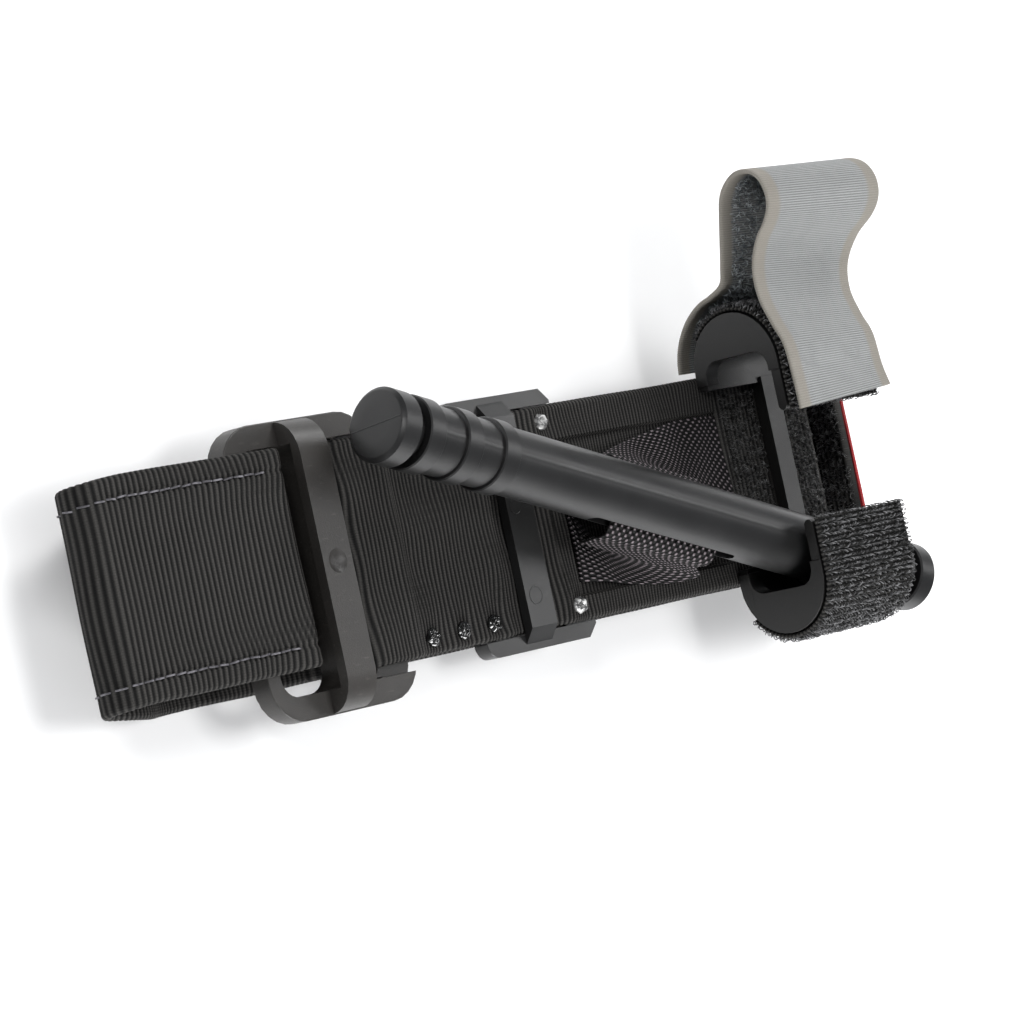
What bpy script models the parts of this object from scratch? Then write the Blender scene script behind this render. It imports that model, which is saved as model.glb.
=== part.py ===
"""Windlass tourniquet, packed flat.

The band lies folded along X, its width is along Y and its working face looks up (+Z).
The origin is on the face it rests on, straight below the windlass's swing axis.
Lengths are in metres. Run: blender --background --python part.py
"""
import math

import bmesh
import bpy
from mathutils import Matrix, Vector

# ---------------------------------------------------------------- driving sizes
GAP = 0.0003                 # air between pieces that rest on each other

BAND_WIDTH = 0.0381
BAND_THICKNESS = 0.0019
TAIL_WIDTH = 0.0360          # the free tail, sewn narrower than the rest
TAIL_TOP_SHIFT = 0.0012      # its upper run lies towards the far side
RUN_LEVELS = 4               # runs of the band under the plate, the lowest is the free tail
RUN_PITCH = BAND_THICKNESS + GAP
LAYER_GAP = 0.0001           # least air under the band's fixed end

PLATE_THICKNESS = 0.0017
PLATE_LEFT = -0.0360
PLATE_HEAD_LENGTH = 0.0280
PLATE_RIGHT = 0.0570
PLATE_FLANGE = 0.0031        # how far the head stands out past the band
PLATE_CHAMFER = 0.0012
PLATE_BAR_LEFT = -0.0264
PLATE_BAR_WIDTH = 0.0065
PLATE_BAR_THICKNESS = 0.0018
PLATE_SLOT_WIDTH = 0.0066    # on each side of the bar
BAND_DIP = 0.0008            # how far the band sinks under the bar

BUCKLE_LEFT = -0.0905
BUCKLE_LENGTH = 0.0340
BUCKLE_RAIL = 0.0041         # side rail, from the slot's end out
BUCKLE_BASE_THICKNESS = 0.0040
BUCKLE_CORNER = 0.0070
BUCKLE_END_BAR = 0.0028
BUCKLE_TAIL_SLOT = 0.0100
BUCKLE_BRIDGE = 0.0066
BUCKLE_BRIDGE_HEIGHT = 0.0049
BUCKLE_LOOP_SLOT = 0.0072
BUCKLE_BAR_THICKNESS = 0.0019
SLOT_SIDE_CLEARANCE = 0.0012
BUCKLE_RIM_ROUND = 0.0013
BUCKLE_BEVEL = 0.0005
BUCKLE_SHIFT = -0.0007       # the buckle sits a little towards the near side
BRIDGE_THICKNESS = 0.0020
BRIDGE_UNDERCUT = 0.0030     # how far the tail slot runs on under the bridge
TAIL_RISE_GAP = 0.0007       # between the bridge and the tail that rises beside it

CLIP_LEFT = 0.0310
CLIP_LENGTH = 0.0252
ARM_OUTSET = 0.00055         # centre of each arm's arc, out from the band's edge
ROD_CLEARANCE = 0.00125      # air between an arm and the rod's ribs
ARM_WALL = 0.0020
END_WALL = 0.0030
END_WALL_NOTCH = 0.0018      # how much smaller the notch is in the end wall, from the arm's centre
LEDGE = 0.0003               # small steps where the clip's forms meet
LIP_REACH = 0.0096           # from the centre of the arm's arc to the lip's tip
FOOT_REACH = 0.00255         # how far the arm's foot stands on the band
BASE_BAR_LEFT = 0.0146       # from the clip's left face
BASE_BAR_WIDTH = 0.0044
BASE_BAR_THICKNESS = 0.0024

PATCH_THICKNESS = 0.0014
PATCH_PINCH = 0.0009         # thinner here, where the strap comes down on the far arm
PINCH_TURN = 66.0
STRAP_CLEARANCE = 0.00155    # air between the far hook patch and the strap round it
STRAP_HINGE_TURN = -12.0     # where the strap leaves the arm
STRAP_WIDTH = 0.0254
STRAP_THICKNESS = 0.0013

ROD_LENGTH = 0.1460
ROD_RADIUS = 0.0058
RIB_RADIUS = 0.00635
POCKET_SHIFT = 0.00327       # stowed rod, in from the centre of the arm's arc
POCKET_SINK = 0.00017        # stowed rod, below the centre of the arm's arc
ROD_HEIGHT = 0.01265         # rod centre above the band, at the swing axis
SWING_INSET = 0.0171         # swing axis, in from the centre of the stowing arm's arc
ROD_SLOT_LENGTH = 0.0390
ROD_SLOT_HEIGHT = 0.0026

INNER_BAND_WIDTH = 0.0254
INNER_BAND_THICKNESS = 0.0008
WINDOW_LEFT = -0.0110
WINDOW_RIGHT = 0.0340
WINDOW_DEPTH = 0.0009

LOOP_SPLICE = -0.0380        # where the fixed end stops, under the top run
SPLICE_PLATE = -0.0145       # band joint over the plate head
SPLICE_COVER = 0.0343        # band joint at the window's right end
RIGHT_TURN = 0.0590
TIP_BEND = 0.0592            # where the tail starts to curl up into the tip
INNER_RIGHT_TURN = 0.0575
INNER_LEFT_TURN = -0.0715
LEFT_FOLD = -0.1195
FOLD_RADIUS = 0.0033         # middle of the band, round the left fold
TAIL_SINK_LENGTH = 0.0240    # over which the tail sinks from the fold to the lowest level
TAIL_SHIFT = -0.0012         # the tail is folded a little crooked, towards the near side
TAIL_CLEARANCE = 0.0011      # tail above the buckle's end bar
TIP_RADIUS = 0.0080
TIP_HINGE_TURN = 45.0
TIP_RISE = 0.0054
TAB_THICKNESS = 0.0008

WELD_INSET = 0.0028
WELD_RADIUS = 0.0016
WELD_HEIGHT = 0.0007
LOOP_WELDS = (-0.0490, -0.0414, -0.0338)
PLATE_WELD = -0.0118
SEAM_INSET = 0.0036
SEAM_WIDTH = 0.0008
SEAM_HEIGHT = 0.0004

# ---------------------------------------------------------------- derived levels and places
HALF_BAND = BAND_WIDTH / 2
HALF_T = BAND_THICKNESS / 2
TAIL_Z = HALF_T                                      # middle of the lowest run
RUN_Z = [TAIL_Z + level * RUN_PITCH for level in range(RUN_LEVELS)]
PLATE_BOTTOM = RUN_Z[-1] + HALF_T + GAP
PLATE_TOP = PLATE_BOTTOM + PLATE_THICKNESS
FIXED_END_Z = RUN_Z[-1] + BAND_THICKNESS + LAYER_GAP
TOP_Z = max(PLATE_TOP + GAP + HALF_T, FIXED_END_Z + RUN_PITCH)    # middle of the top run
FACE_Z = TOP_Z + HALF_T                              # upper face of the top run
PLATE_RIGHT_OF_HEAD = PLATE_LEFT + PLATE_HEAD_LENGTH
BAR_BOTTOM = FACE_Z - BAND_DIP + GAP
BAR_RIGHT = PLATE_BAR_LEFT + PLATE_BAR_WIDTH

BUCKLE_BOTTOM = FACE_Z - 0.0015
BUCKLE_TOP = BUCKLE_BOTTOM + BUCKLE_BASE_THICKNESS
BUCKLE_HALF = HALF_BAND + SLOT_SIDE_CLEARANCE + BUCKLE_RAIL
SLOT_HALF = HALF_BAND + SLOT_SIDE_CLEARANCE
TAIL_SLOT_LEFT = BUCKLE_LEFT + BUCKLE_END_BAR
BRIDGE_LEFT = TAIL_SLOT_LEFT + BUCKLE_TAIL_SLOT
BRIDGE_RIGHT = BRIDGE_LEFT + BUCKLE_BRIDGE
LOOP_BAR_LEFT = BRIDGE_RIGHT + BUCKLE_LOOP_SLOT
BUCKLE_RIGHT = BUCKLE_LEFT + BUCKLE_LENGTH
LOOP_BAR_TOP = BUCKLE_BOTTOM + BUCKLE_BAR_THICKNESS
UNDER_LOOP_Z = TOP_Z - RUN_PITCH                     # fixed end, under the top run
OVER_LOOP_Z = LOOP_BAR_TOP + GAP + HALF_T
LOOP_RADIUS = (OVER_LOOP_Z - UNDER_LOOP_Z) / 2
TAIL_TOP_Z = BUCKLE_TOP + TAIL_CLEARANCE + HALF_T
TAIL_RISE_X = BRIDGE_LEFT - TAIL_RISE_GAP - HALF_T   # middle of the tail where it rises through its slot

ARM_RADIUS = RIB_RADIUS + ROD_CLEARANCE + ARM_WALL
ARM_SPREAD = HALF_BAND + ARM_OUTSET
ARM_Z = FACE_Z + GAP + ARM_RADIUS                    # centre of the arms' arcs
LIP_TIP = ARM_SPREAD - LIP_REACH
FOOT_INNER = HALF_BAND - FOOT_REACH
CLIP_RIGHT = CLIP_LEFT + CLIP_LENGTH
CLIP_MIDDLE = (CLIP_LEFT + CLIP_RIGHT) / 2
STRAP_RADIUS = ARM_RADIUS + PATCH_THICKNESS + GAP + STRAP_CLEARANCE + STRAP_THICKNESS / 2

ROD_OFFSET = SWING_INSET - ARM_SPREAD                # swing axis, from the band's middle line
ROD_CENTRE = Vector((0.0, ROD_OFFSET, FACE_Z + ROD_HEIGHT))
ROD_YAW = -math.atan2(ARM_SPREAD - POCKET_SHIFT + ROD_OFFSET, CLIP_MIDDLE)
ROD_PITCH = math.atan2(ROD_CENTRE.z - ARM_Z + POCKET_SINK, CLIP_MIDDLE / math.cos(ROD_YAW))

model = None
cutters = None


# ---------------------------------------------------------------- helpers
def collection(name):
    made = bpy.data.collections.new(name)
    bpy.context.scene.collection.children.link(made)
    return made


def material(name, colour, roughness, metallic=0.0):
    made = bpy.data.materials.get(name)
    if made is None:
        made = bpy.data.materials.new(name)
        made.use_nodes = True
        shader = made.node_tree.nodes["Principled BSDF"]
        shader.inputs["Base Color"].default_value = (*colour, 1.0)
        shader.inputs["Roughness"].default_value = roughness
        shader.inputs["Metallic"].default_value = metallic
    return made


def plastic():
    return material("moulded_plastic", (0.022, 0.022, 0.023), 0.42)


def webbing():
    return material("ribbed_webbing", (0.016, 0.016, 0.017), 0.8)


def hook_tape():
    return material("hook_tape", (0.012, 0.012, 0.013), 0.9)


def grey_tape():
    return material("grey_strap", (0.36, 0.36, 0.35), 0.75)


def red_tape():
    return material("red_tab", (0.5, 0.02, 0.025), 0.7)


def thread():
    return material("sewing_thread", (0.22, 0.22, 0.22), 0.6)


def melted():
    return material("melted_nylon", (0.02, 0.02, 0.02), 0.15)


def add(name, mesh, finish, home=None):
    """A mesh object in the model's collection."""
    made = bpy.data.objects.new(name, mesh)
    (home or model).objects.link(made)
    if finish is not None:
        mesh.materials.clear()
        mesh.materials.append(finish)
    return made


def slab(name, outline, low, high, along, finish, home=None):
    """A flat outline, extruded from low to high along X, Y or Z.

    The outline's pairs are (x, z) for Y, (y, z) for X and (x, y) for Z.
    """
    curve = bpy.data.curves.new(name, "CURVE")
    curve.dimensions = "2D"
    curve.fill_mode = "BOTH"
    curve.extrude = (high - low) / 2
    spline = curve.splines.new("POLY")
    spline.points.add(len(outline) - 1)
    for point, (first, second) in zip(spline.points, outline):
        point.co = (first, second, 0.0, 1.0)
    spline.use_cyclic_u = True
    guide = bpy.data.objects.new(name + "_outline", curve)
    bpy.context.scene.collection.objects.link(guide)
    middle = (low + high) / 2
    quarter = math.pi / 2
    place = {"X": Matrix.Translation((middle, 0, 0)) @ Matrix.Rotation(quarter, 4, "Z")
                  @ Matrix.Rotation(quarter, 4, "X"),
             "Y": Matrix.Translation((0, middle, 0)) @ Matrix.Rotation(quarter, 4, "X"),
             "Z": Matrix.Translation((0, 0, middle))}[along]
    bpy.context.view_layer.update()
    evaluated = guide.evaluated_get(bpy.context.evaluated_depsgraph_get())
    mesh = bpy.data.meshes.new_from_object(evaluated)
    mesh.name = name
    mesh.transform(place)
    work = bmesh.new()
    work.from_mesh(mesh)
    bmesh.ops.remove_doubles(work, verts=work.verts, dist=1e-6)
    bmesh.ops.recalc_face_normals(work, faces=work.faces)
    work.to_mesh(mesh)
    work.free()
    bpy.data.objects.remove(guide)
    return add(name, mesh, finish, home)


def box(name, low, high, finish, home=None):
    mesh = bpy.data.meshes.new(name)
    work = bmesh.new()
    bmesh.ops.create_cube(work, size=1.0)
    size = [b - a for a, b in zip(low, high)]
    middle = [(a + b) / 2 for a, b in zip(low, high)]
    bmesh.ops.scale(work, vec=size, verts=work.verts)
    bmesh.ops.translate(work, vec=middle, verts=work.verts)
    work.to_mesh(mesh)
    work.free()
    return add(name, mesh, finish, home)


def boolean(target, tool, operation):
    tool.hide_render = True
    tool.display_type = "WIRE"
    change = target.modifiers.new(operation.lower() + "_" + tool.name, "BOOLEAN")
    change.operation = operation
    change.solver = "EXACT"
    change.object = tool


def cut(target, tool):
    boolean(target, tool, "DIFFERENCE")


def join(target, tool):
    boolean(target, tool, "UNION")


def bevel(target, width, segments=2, angle=35.0):
    change = target.modifiers.new("bevel", "BEVEL")
    change.width = width
    change.segments = segments
    change.limit_method = "ANGLE"
    change.angle_limit = math.radians(angle)
    return change


def arc(centre, radius, start, end, step=10.0):
    """Points on an arc, angles in degrees."""
    count = max(2, int(abs(end - start) / step) + 1)
    points = []
    for index in range(count):
        angle = math.radians(start + (end - start) * index / (count - 1))
        points.append((centre[0] + radius * math.cos(angle), centre[1] + radius * math.sin(angle)))
    return points


def rounded(left, right, low, high, radius):
    """A rectangle with round corners, as an outline."""
    corners = (((right - radius, high - radius), 0), ((left + radius, high - radius), 90),
               ((left + radius, low + radius), 180), ((right - radius, low + radius), 270))
    outline = []
    for centre, start in corners:
        outline += arc(centre, radius, start, start + 90, 15)
    return outline


class Centreline:
    """The middle line of a folded band, drawn with straights and bends."""

    def __init__(self, first, second, heading):
        self.at = Vector((first, second))
        self.heading = heading
        self.points = [(self.at.copy(), heading)]

    def straight(self, length):
        turn = math.radians(self.heading)
        self.at = self.at + Vector((math.cos(turn), math.sin(turn))) * length
        self.points.append((self.at.copy(), self.heading))
        return self

    def bend(self, radius, turn, step=10.0):
        """Turn left for a positive angle, right for a negative one."""
        side = 1 if turn > 0 else -1
        normal = math.radians(self.heading + 90 * side)
        centre = self.at + Vector((math.cos(normal), math.sin(normal))) * radius
        count = max(2, int(round(abs(turn) / step)))
        start = self.at - centre
        for index in range(1, count + 1):
            angle = turn * index / count
            self.at = centre + start.copy() @ Matrix.Rotation(-math.radians(angle), 2)
            self.points.append((self.at.copy(), self.heading + angle))
        self.heading += turn
        return self

    def step_over(self, rise, length):
        """Move sideways by rise (left is positive) over a length, with two smooth bends."""
        side = 1 if rise > 0 else -1
        angle = 2 * math.atan2(abs(rise), length)
        radius = length / 2 / math.sin(angle)
        self.bend(radius, side * math.degrees(angle), 6)
        return self.bend(radius, -side * math.degrees(angle), 6)

    def outline(self, thickness):
        left, right = [], []
        for point, heading in self.points:
            normal = math.radians(heading + 90)
            offset = Vector((math.cos(normal), math.sin(normal))) * thickness / 2
            left.append(tuple(point + offset))
            right.append(tuple(point - offset))
        return left + right[::-1]


def band(name, line, width=BAND_WIDTH, shift=0.0):
    return slab(name, line.outline(BAND_THICKNESS), shift - width / 2, shift + width / 2, "Y", webbing())


def smooth(made, angle=40.0):
    made.data.shade_smooth()
    made.data.set_sharp_from_angle(angle=math.radians(angle))


# ---------------------------------------------------------------- hard pieces
def buckle():
    frame = slab("buckle", rounded(BUCKLE_LEFT, BUCKLE_RIGHT, -BUCKLE_HALF, BUCKLE_HALF, BUCKLE_CORNER),
                 BUCKLE_BOTTOM, BUCKLE_TOP, "Z", plastic())
    bevel(frame, BUCKLE_RIM_ROUND, 3, 60)
    bridge_top = BUCKLE_TOP + BUCKLE_BRIDGE_HEIGHT
    ledge = 0.0002
    ramp = Vector((0.0060, BUCKLE_BRIDGE_HEIGHT + ledge))
    foot = Vector((BUCKLE_HALF - ledge - ramp.x, BUCKLE_TOP - ledge))
    half = [(foot.x + ramp.x, BUCKLE_BOTTOM + ledge)]
    half += [(foot.x + ramp.x * math.cos(math.radians(turn)), foot.y + ramp.y * math.sin(math.radians(turn)))
             for turn in range(0, 91, 15)]
    bridge = slab("bridge_form", half + [(-y, z) for y, z in reversed(half)], BRIDGE_LEFT, BRIDGE_RIGHT, "X",
                  None, cutters)
    join(frame, bridge)
    past = 0.002
    tail_slot = slab("tail_slot_cut", rounded(TAIL_SLOT_LEFT, BRIDGE_LEFT, -SLOT_HALF, SLOT_HALF, 0.0035),
                     BUCKLE_BOTTOM - past, bridge_top + past, "Z", None, cutters)
    undercut = slab("undercut_cut", rounded(TAIL_SLOT_LEFT + 0.001, BRIDGE_LEFT + BRIDGE_UNDERCUT,
                                            -SLOT_HALF, SLOT_HALF, 0.0035),
                    BUCKLE_BOTTOM - past, bridge_top - BRIDGE_THICKNESS, "Z", None, cutters)
    loop_slot = slab("loop_slot_cut", rounded(BRIDGE_RIGHT, LOOP_BAR_LEFT, -SLOT_HALF, SLOT_HALF, 0.0020),
                     BUCKLE_BOTTOM - past, bridge_top + past, "Z", None, cutters)
    recess = box("loop_recess_cut", (LOOP_BAR_LEFT - 0.001, -SLOT_HALF, LOOP_BAR_TOP),
                 (BUCKLE_RIGHT + past, SLOT_HALF, bridge_top), None, cutters)
    for tool in (tail_slot, undercut, loop_slot, recess):
        cut(frame, tool)
    dimple_radius = 0.0038
    dimple_depth = 0.0006
    mesh = bpy.data.meshes.new("dimple_cut")
    work = bmesh.new()
    bmesh.ops.create_uvsphere(work, u_segments=32, v_segments=24, radius=dimple_radius)
    work.to_mesh(mesh)
    work.free()
    dimple = add("dimple_cut", mesh, None, cutters)
    dimple.location = ((BRIDGE_LEFT + BRIDGE_RIGHT) / 2, 0, bridge_top + dimple_radius - dimple_depth)
    cut(frame, dimple)
    for form in (frame, bridge, tail_slot, undercut, loop_slot, recess, dimple):
        form.location.y += BUCKLE_SHIFT
    bevel(frame, BUCKLE_BEVEL, 2)
    smooth(frame)
    return frame


def stabiliser_plate():
    head = HALF_BAND + PLATE_FLANGE
    narrow = HALF_BAND
    corner = 0.0026
    flange_top = FACE_Z - 0.0008
    head_right = PLATE_RIGHT_OF_HEAD
    waist = 0.0022
    upper = arc((PLATE_LEFT + corner, head - corner), corner, 180, 90, 15)
    upper += [(head_right - waist, head), (head_right, head - waist)]
    upper += arc((head_right + waist, narrow + 0.4 * waist), waist, 165, 265, 20)
    upper += [(PLATE_RIGHT - corner, narrow), (PLATE_RIGHT, narrow - corner)]
    lower = [(x, -y) for x, y in reversed(upper)]
    plate = slab("stabiliser_plate", upper + lower, PLATE_BOTTOM, PLATE_TOP, "Z", plastic())
    wall_upper = [point for point in upper if point[0] <= head_right]
    wall_outline = wall_upper + [(x, -y) for x, y in reversed(wall_upper)]
    wall = slab("plate_wall_form", wall_outline, PLATE_BOTTOM, flange_top, "Z", None, cutters)
    bevel(wall, PLATE_CHAMFER, 1, 60)
    join(plate, wall)
    bed = HALF_BAND + GAP
    cut(plate, box("plate_bed_cut", (PLATE_LEFT - 0.001, -bed, PLATE_TOP),
                   (head_right + 0.001, bed, FACE_Z + 0.01), None, cutters))
    slots = slab("plate_slot_cut", rounded(PLATE_BAR_LEFT - PLATE_SLOT_WIDTH, BAR_RIGHT + PLATE_SLOT_WIDTH,
                                           -bed, bed, 0.0012),
                 PLATE_BOTTOM - 0.001, FACE_Z + 0.01, "Z", None, cutters)
    cut(plate, slots)
    foot = bed + 0.0021
    bar = slab("plate_bar_form", [(-foot, PLATE_BOTTOM + 0.0004), (-bed, PLATE_BOTTOM + 0.0004),
                                  (-bed, BAR_BOTTOM - 0.0004), (-bed + 0.0004, BAR_BOTTOM),
                                  (bed - 0.0004, BAR_BOTTOM), (bed, BAR_BOTTOM - 0.0004),
                                  (bed, PLATE_BOTTOM + 0.0004), (foot, PLATE_BOTTOM + 0.0004),
                                  (foot, flange_top - 0.0004), (bed - 0.0010, BAR_BOTTOM + PLATE_BAR_THICKNESS),
                                  (0.0010 - bed, BAR_BOTTOM + PLATE_BAR_THICKNESS), (-foot, flange_top - 0.0004)],
               PLATE_BAR_LEFT, BAR_RIGHT, "X", None, cutters)
    join(plate, bar)
    smooth(plate)
    return plate


def arm_shell(side):
    """One arm of the clip: lip, round back and foot, as an outline in Y and Z."""
    inner = ARM_RADIUS - ARM_WALL
    lip = ARM_WALL / 2
    outline = [(FOOT_INNER, ARM_Z - inner), (FOOT_INNER, ARM_Z - ARM_RADIUS)]
    outline += arc((ARM_SPREAD, ARM_Z), ARM_RADIUS, -90, 90, 10)
    outline += arc((LIP_TIP + lip, ARM_Z + ARM_RADIUS - lip), lip, 90, 270, 30)
    outline += arc((ARM_SPREAD, ARM_Z), inner, 90, -90, 10)
    return [(side * y, z) for y, z in outline]


def end_wall(side):
    """The D-shaped wall that closes an arm's left end, with a smaller notch for the rod."""
    inner = ARM_RADIUS - ARM_WALL - LEDGE
    outer = ARM_RADIUS + LEDGE / 2
    corner = 0.0030
    back = ARM_SPREAD + END_WALL_NOTCH
    top = ARM_Z + inner
    bottom = ARM_Z - inner
    outline = arc((ARM_SPREAD, ARM_Z), outer, -90, 90, 10)
    outline += [(back - corner - 0.001, ARM_Z + outer), (back - corner - 0.001, top)]
    outline += arc((back - corner, top - corner), corner, 90, 0, 15)
    outline += arc((back - corner, bottom + corner), corner, 0, -90, 15)
    outline += [(back - corner - 0.001, bottom), (back - corner - 0.001, ARM_Z - outer)]
    return [(side * y, z) for y, z in outline]


def rod_clip():
    low = ARM_Z - ARM_RADIUS + LEDGE / 2
    left = CLIP_LEFT + BASE_BAR_LEFT
    reach = FOOT_INNER + 0.001
    clip = box("rod_clip", (left, -reach, low), (left + BASE_BAR_WIDTH, reach, low + BASE_BAR_THICKNESS),
               plastic())
    for word, side in (("near", -1), ("far", 1)):
        shell = slab(word + "_arm_form", arm_shell(side), CLIP_LEFT, CLIP_RIGHT, "X", None, cutters)
        join(clip, shell)
        wall = slab(word + "_end_wall_form", end_wall(side), CLIP_LEFT - LEDGE, CLIP_LEFT + END_WALL, "X",
                    None, cutters)
        join(clip, wall)
    smooth(clip, 30)
    return clip


def rod_profile():
    """Radius and distance from the rod's middle, along its upper half."""
    half = ROD_LENGTH / 2
    groove = 0.0050
    waist = 0.0058
    rim = 0.0006
    marks = [(0.0, half), (RIB_RADIUS - rim, half), (RIB_RADIUS, half - rim)]
    marks += [(RIB_RADIUS, half - 0.0040), (groove, half - 0.0046), (groove, half - 0.0060),
              (RIB_RADIUS, half - 0.0066)]
    start = half - 0.0066
    for rib in range(3):
        marks += [(RIB_RADIUS, start - 0.0030), (waist, start - 0.0034), (waist, start - 0.0088)]
        start -= 0.0092
        marks += [(RIB_RADIUS, start)] if rib < 2 else []
    marks += [(ROD_RADIUS, start - 0.0010)]
    return marks


def windlass_rod():
    upper = rod_profile()
    marks = upper + [(radius, -along) for radius, along in reversed(upper)]
    mesh = bpy.data.meshes.new("windlass_rod")
    work = bmesh.new()
    ring = [work.verts.new((radius, 0.0, along)) for radius, along in marks]
    for first, second in zip(ring, ring[1:]):
        work.edges.new((first, second))
    work.to_mesh(mesh)
    work.free()
    rod = add("windlass_rod", mesh, plastic())
    turn = rod.modifiers.new("turn", "SCREW")
    turn.steps = 40
    turn.render_steps = 40
    turn.use_merge_vertices = True
    turn.merge_threshold = 1e-5
    turn.use_smooth_shade = True
    half = ROD_SLOT_LENGTH / 2
    slot = slab("rod_slot_cut", rounded(-ROD_SLOT_HEIGHT / 2, ROD_SLOT_HEIGHT / 2, -half, half, ROD_SLOT_HEIGHT / 2.2),
                -0.01, 0.01, "Y", None, cutters)
    place = rod_place()
    rod.matrix_world = place
    slot.matrix_world = place
    cut(rod, slot)
    return rod


def rod_place():
    """Local Z runs along the rod to its low end, local X points up and local Y sideways."""
    along = Vector((math.cos(ROD_PITCH) * math.cos(ROD_YAW), math.cos(ROD_PITCH) * math.sin(ROD_YAW),
                    -math.sin(ROD_PITCH)))
    aside = Vector((0, 0, 1)).cross(along).normalized()
    up = along.cross(aside)
    turn = Matrix((up, aside, along)).transposed()
    if turn.determinant() < 0:
        aside = -aside
        turn = Matrix((up, aside, along)).transposed()
    return Matrix.Translation(ROD_CENTRE) @ turn.to_4x4()


# ---------------------------------------------------------------- band
def band_buckle_loop():
    """Fixed end under the top run, round the buckle's loop bar and on to the plate head."""
    line = Centreline(LOOP_SPLICE, UNDER_LOOP_Z, 180)
    line.straight(LOOP_SPLICE - LOOP_BAR_LEFT)
    line.bend(LOOP_RADIUS, -180)
    slope = 0.0060
    line.straight(BUCKLE_RIGHT - LOOP_BAR_LEFT)
    line.step_over(TOP_Z - OVER_LOOP_Z, slope)
    dip = 0.0050
    line.straight(PLATE_BAR_LEFT - dip - 0.0004 - BUCKLE_RIGHT - slope)
    line.step_over(-BAND_DIP, dip)
    line.straight(PLATE_BAR_WIDTH + 0.0008)
    line.step_over(BAND_DIP, dip)
    line.straight(SPLICE_PLATE - BAR_RIGHT - 0.0004 - dip)
    return band("band_buckle_loop", line)


def band_window_run():
    line = Centreline(SPLICE_PLATE + GAP, TOP_Z, 0)
    line.straight(SPLICE_COVER - SPLICE_PLATE - GAP)
    run = band("band_window_run", line)
    half = INNER_BAND_WIDTH / 2
    cut(run, slab("window_cut", rounded(WINDOW_LEFT, SPLICE_COVER + 0.002, -half - 0.002, half, 0.002),
                  FACE_Z - WINDOW_DEPTH, FACE_Z + 0.005, "Z", None, cutters))
    return run


def band_cover_run():
    """Loop-faced run under the clip, round the right turn and back under the plate."""
    line = Centreline(SPLICE_COVER + GAP, TOP_Z, 0)
    line.straight(RIGHT_TURN - SPLICE_COVER - GAP)
    line.bend((TOP_Z - RUN_Z[3]) / 2, -180)
    line.straight(RIGHT_TURN - INNER_LEFT_TURN - GAP / 2)
    return band("band_cover_run", line)


def band_inner_fold():
    line = Centreline(INNER_LEFT_TURN - GAP / 2, RUN_Z[3], 180)
    line.bend(RUN_PITCH / 2, 180, 20)
    line.straight(INNER_RIGHT_TURN - INNER_LEFT_TURN)
    line.bend(RUN_PITCH / 2, -180, 20)
    line.straight(GAP)
    return band("band_inner_fold", line)


def band_slot_run():
    """Lowest inner run, up through the buckle's tail slot and left over its end bar."""
    rise = 0.0040
    over = 0.0030
    start = INNER_RIGHT_TURN - 2 * GAP
    line = Centreline(start, RUN_Z[1], 180)
    line.straight(start - TAIL_RISE_X - rise)
    line.bend(rise, -90)
    line.straight(TAIL_TOP_Z - RUN_Z[1] - rise - over)
    line.bend(over, 90)
    line.straight(TAIL_RISE_X - over - LEFT_FOLD)
    return band("band_slot_run", line, TAIL_WIDTH, TAIL_TOP_SHIFT)


def band_tail():
    """Free end: left fold and the lowest run, up to the tip's hinge."""
    line = Centreline(LEFT_FOLD - GAP, TAIL_TOP_Z, 180)
    line.bend(FOLD_RADIUS, 180)
    line.step_over(TAIL_Z + 2 * FOLD_RADIUS - TAIL_TOP_Z, TAIL_SINK_LENGTH)
    line.straight(TIP_BEND - LEFT_FOLD + GAP - TAIL_SINK_LENGTH)
    line.bend(TIP_RADIUS, TIP_HINGE_TURN - 6)
    return band("band_tail", line, TAIL_WIDTH, TAIL_SHIFT)


def tip_line():
    line = Centreline(TIP_BEND, TAIL_Z, 0)
    line.bend(TIP_RADIUS, TIP_HINGE_TURN)
    line.points = line.points[-1:]
    line.bend(TIP_RADIUS, 90 - TIP_HINGE_TURN)
    line.straight(TIP_RISE)
    return line


def band_tip():
    return band("band_tip", tip_line(), TAIL_WIDTH, TAIL_SHIFT)


def tip_tab():
    outer = TIP_BEND + TIP_RADIUS + HALF_T + GAP
    low = TAIL_Z + TIP_RADIUS
    near, far = TAIL_SHIFT - TAIL_WIDTH / 2, TAIL_SHIFT + TAIL_WIDTH / 2
    return box("tip_tab", (outer, near, low), (outer + TAB_THICKNESS, far, low + TIP_RISE), red_tape())


# ---------------------------------------------------------------- inner band
def inner_band_loop():
    """The stretch of inner band that passes through the rod's slot and hangs at its sides."""
    half_t = INNER_BAND_THICKNESS / 2
    side = RIB_RADIUS + GAP + half_t
    bend = 0.0016
    drop = 0.0052
    line = Centreline(-side, -drop - bend, 90)
    line.straight(drop)
    line.bend(bend, -90)
    line.straight(2 * (side - bend))
    line.bend(bend, -90)
    line.straight(drop)
    half = INNER_BAND_WIDTH / 2
    strip = slab("inner_band_loop", line.outline(INNER_BAND_THICKNESS), -half, half, "X", webbing())
    flat = Matrix.Rotation(ROD_YAW, 4, "Z") @ Matrix.Rotation(ROD_PITCH, 4, "Y")
    strip.matrix_world = Matrix.Translation(ROD_CENTRE) @ flat
    return strip


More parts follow.
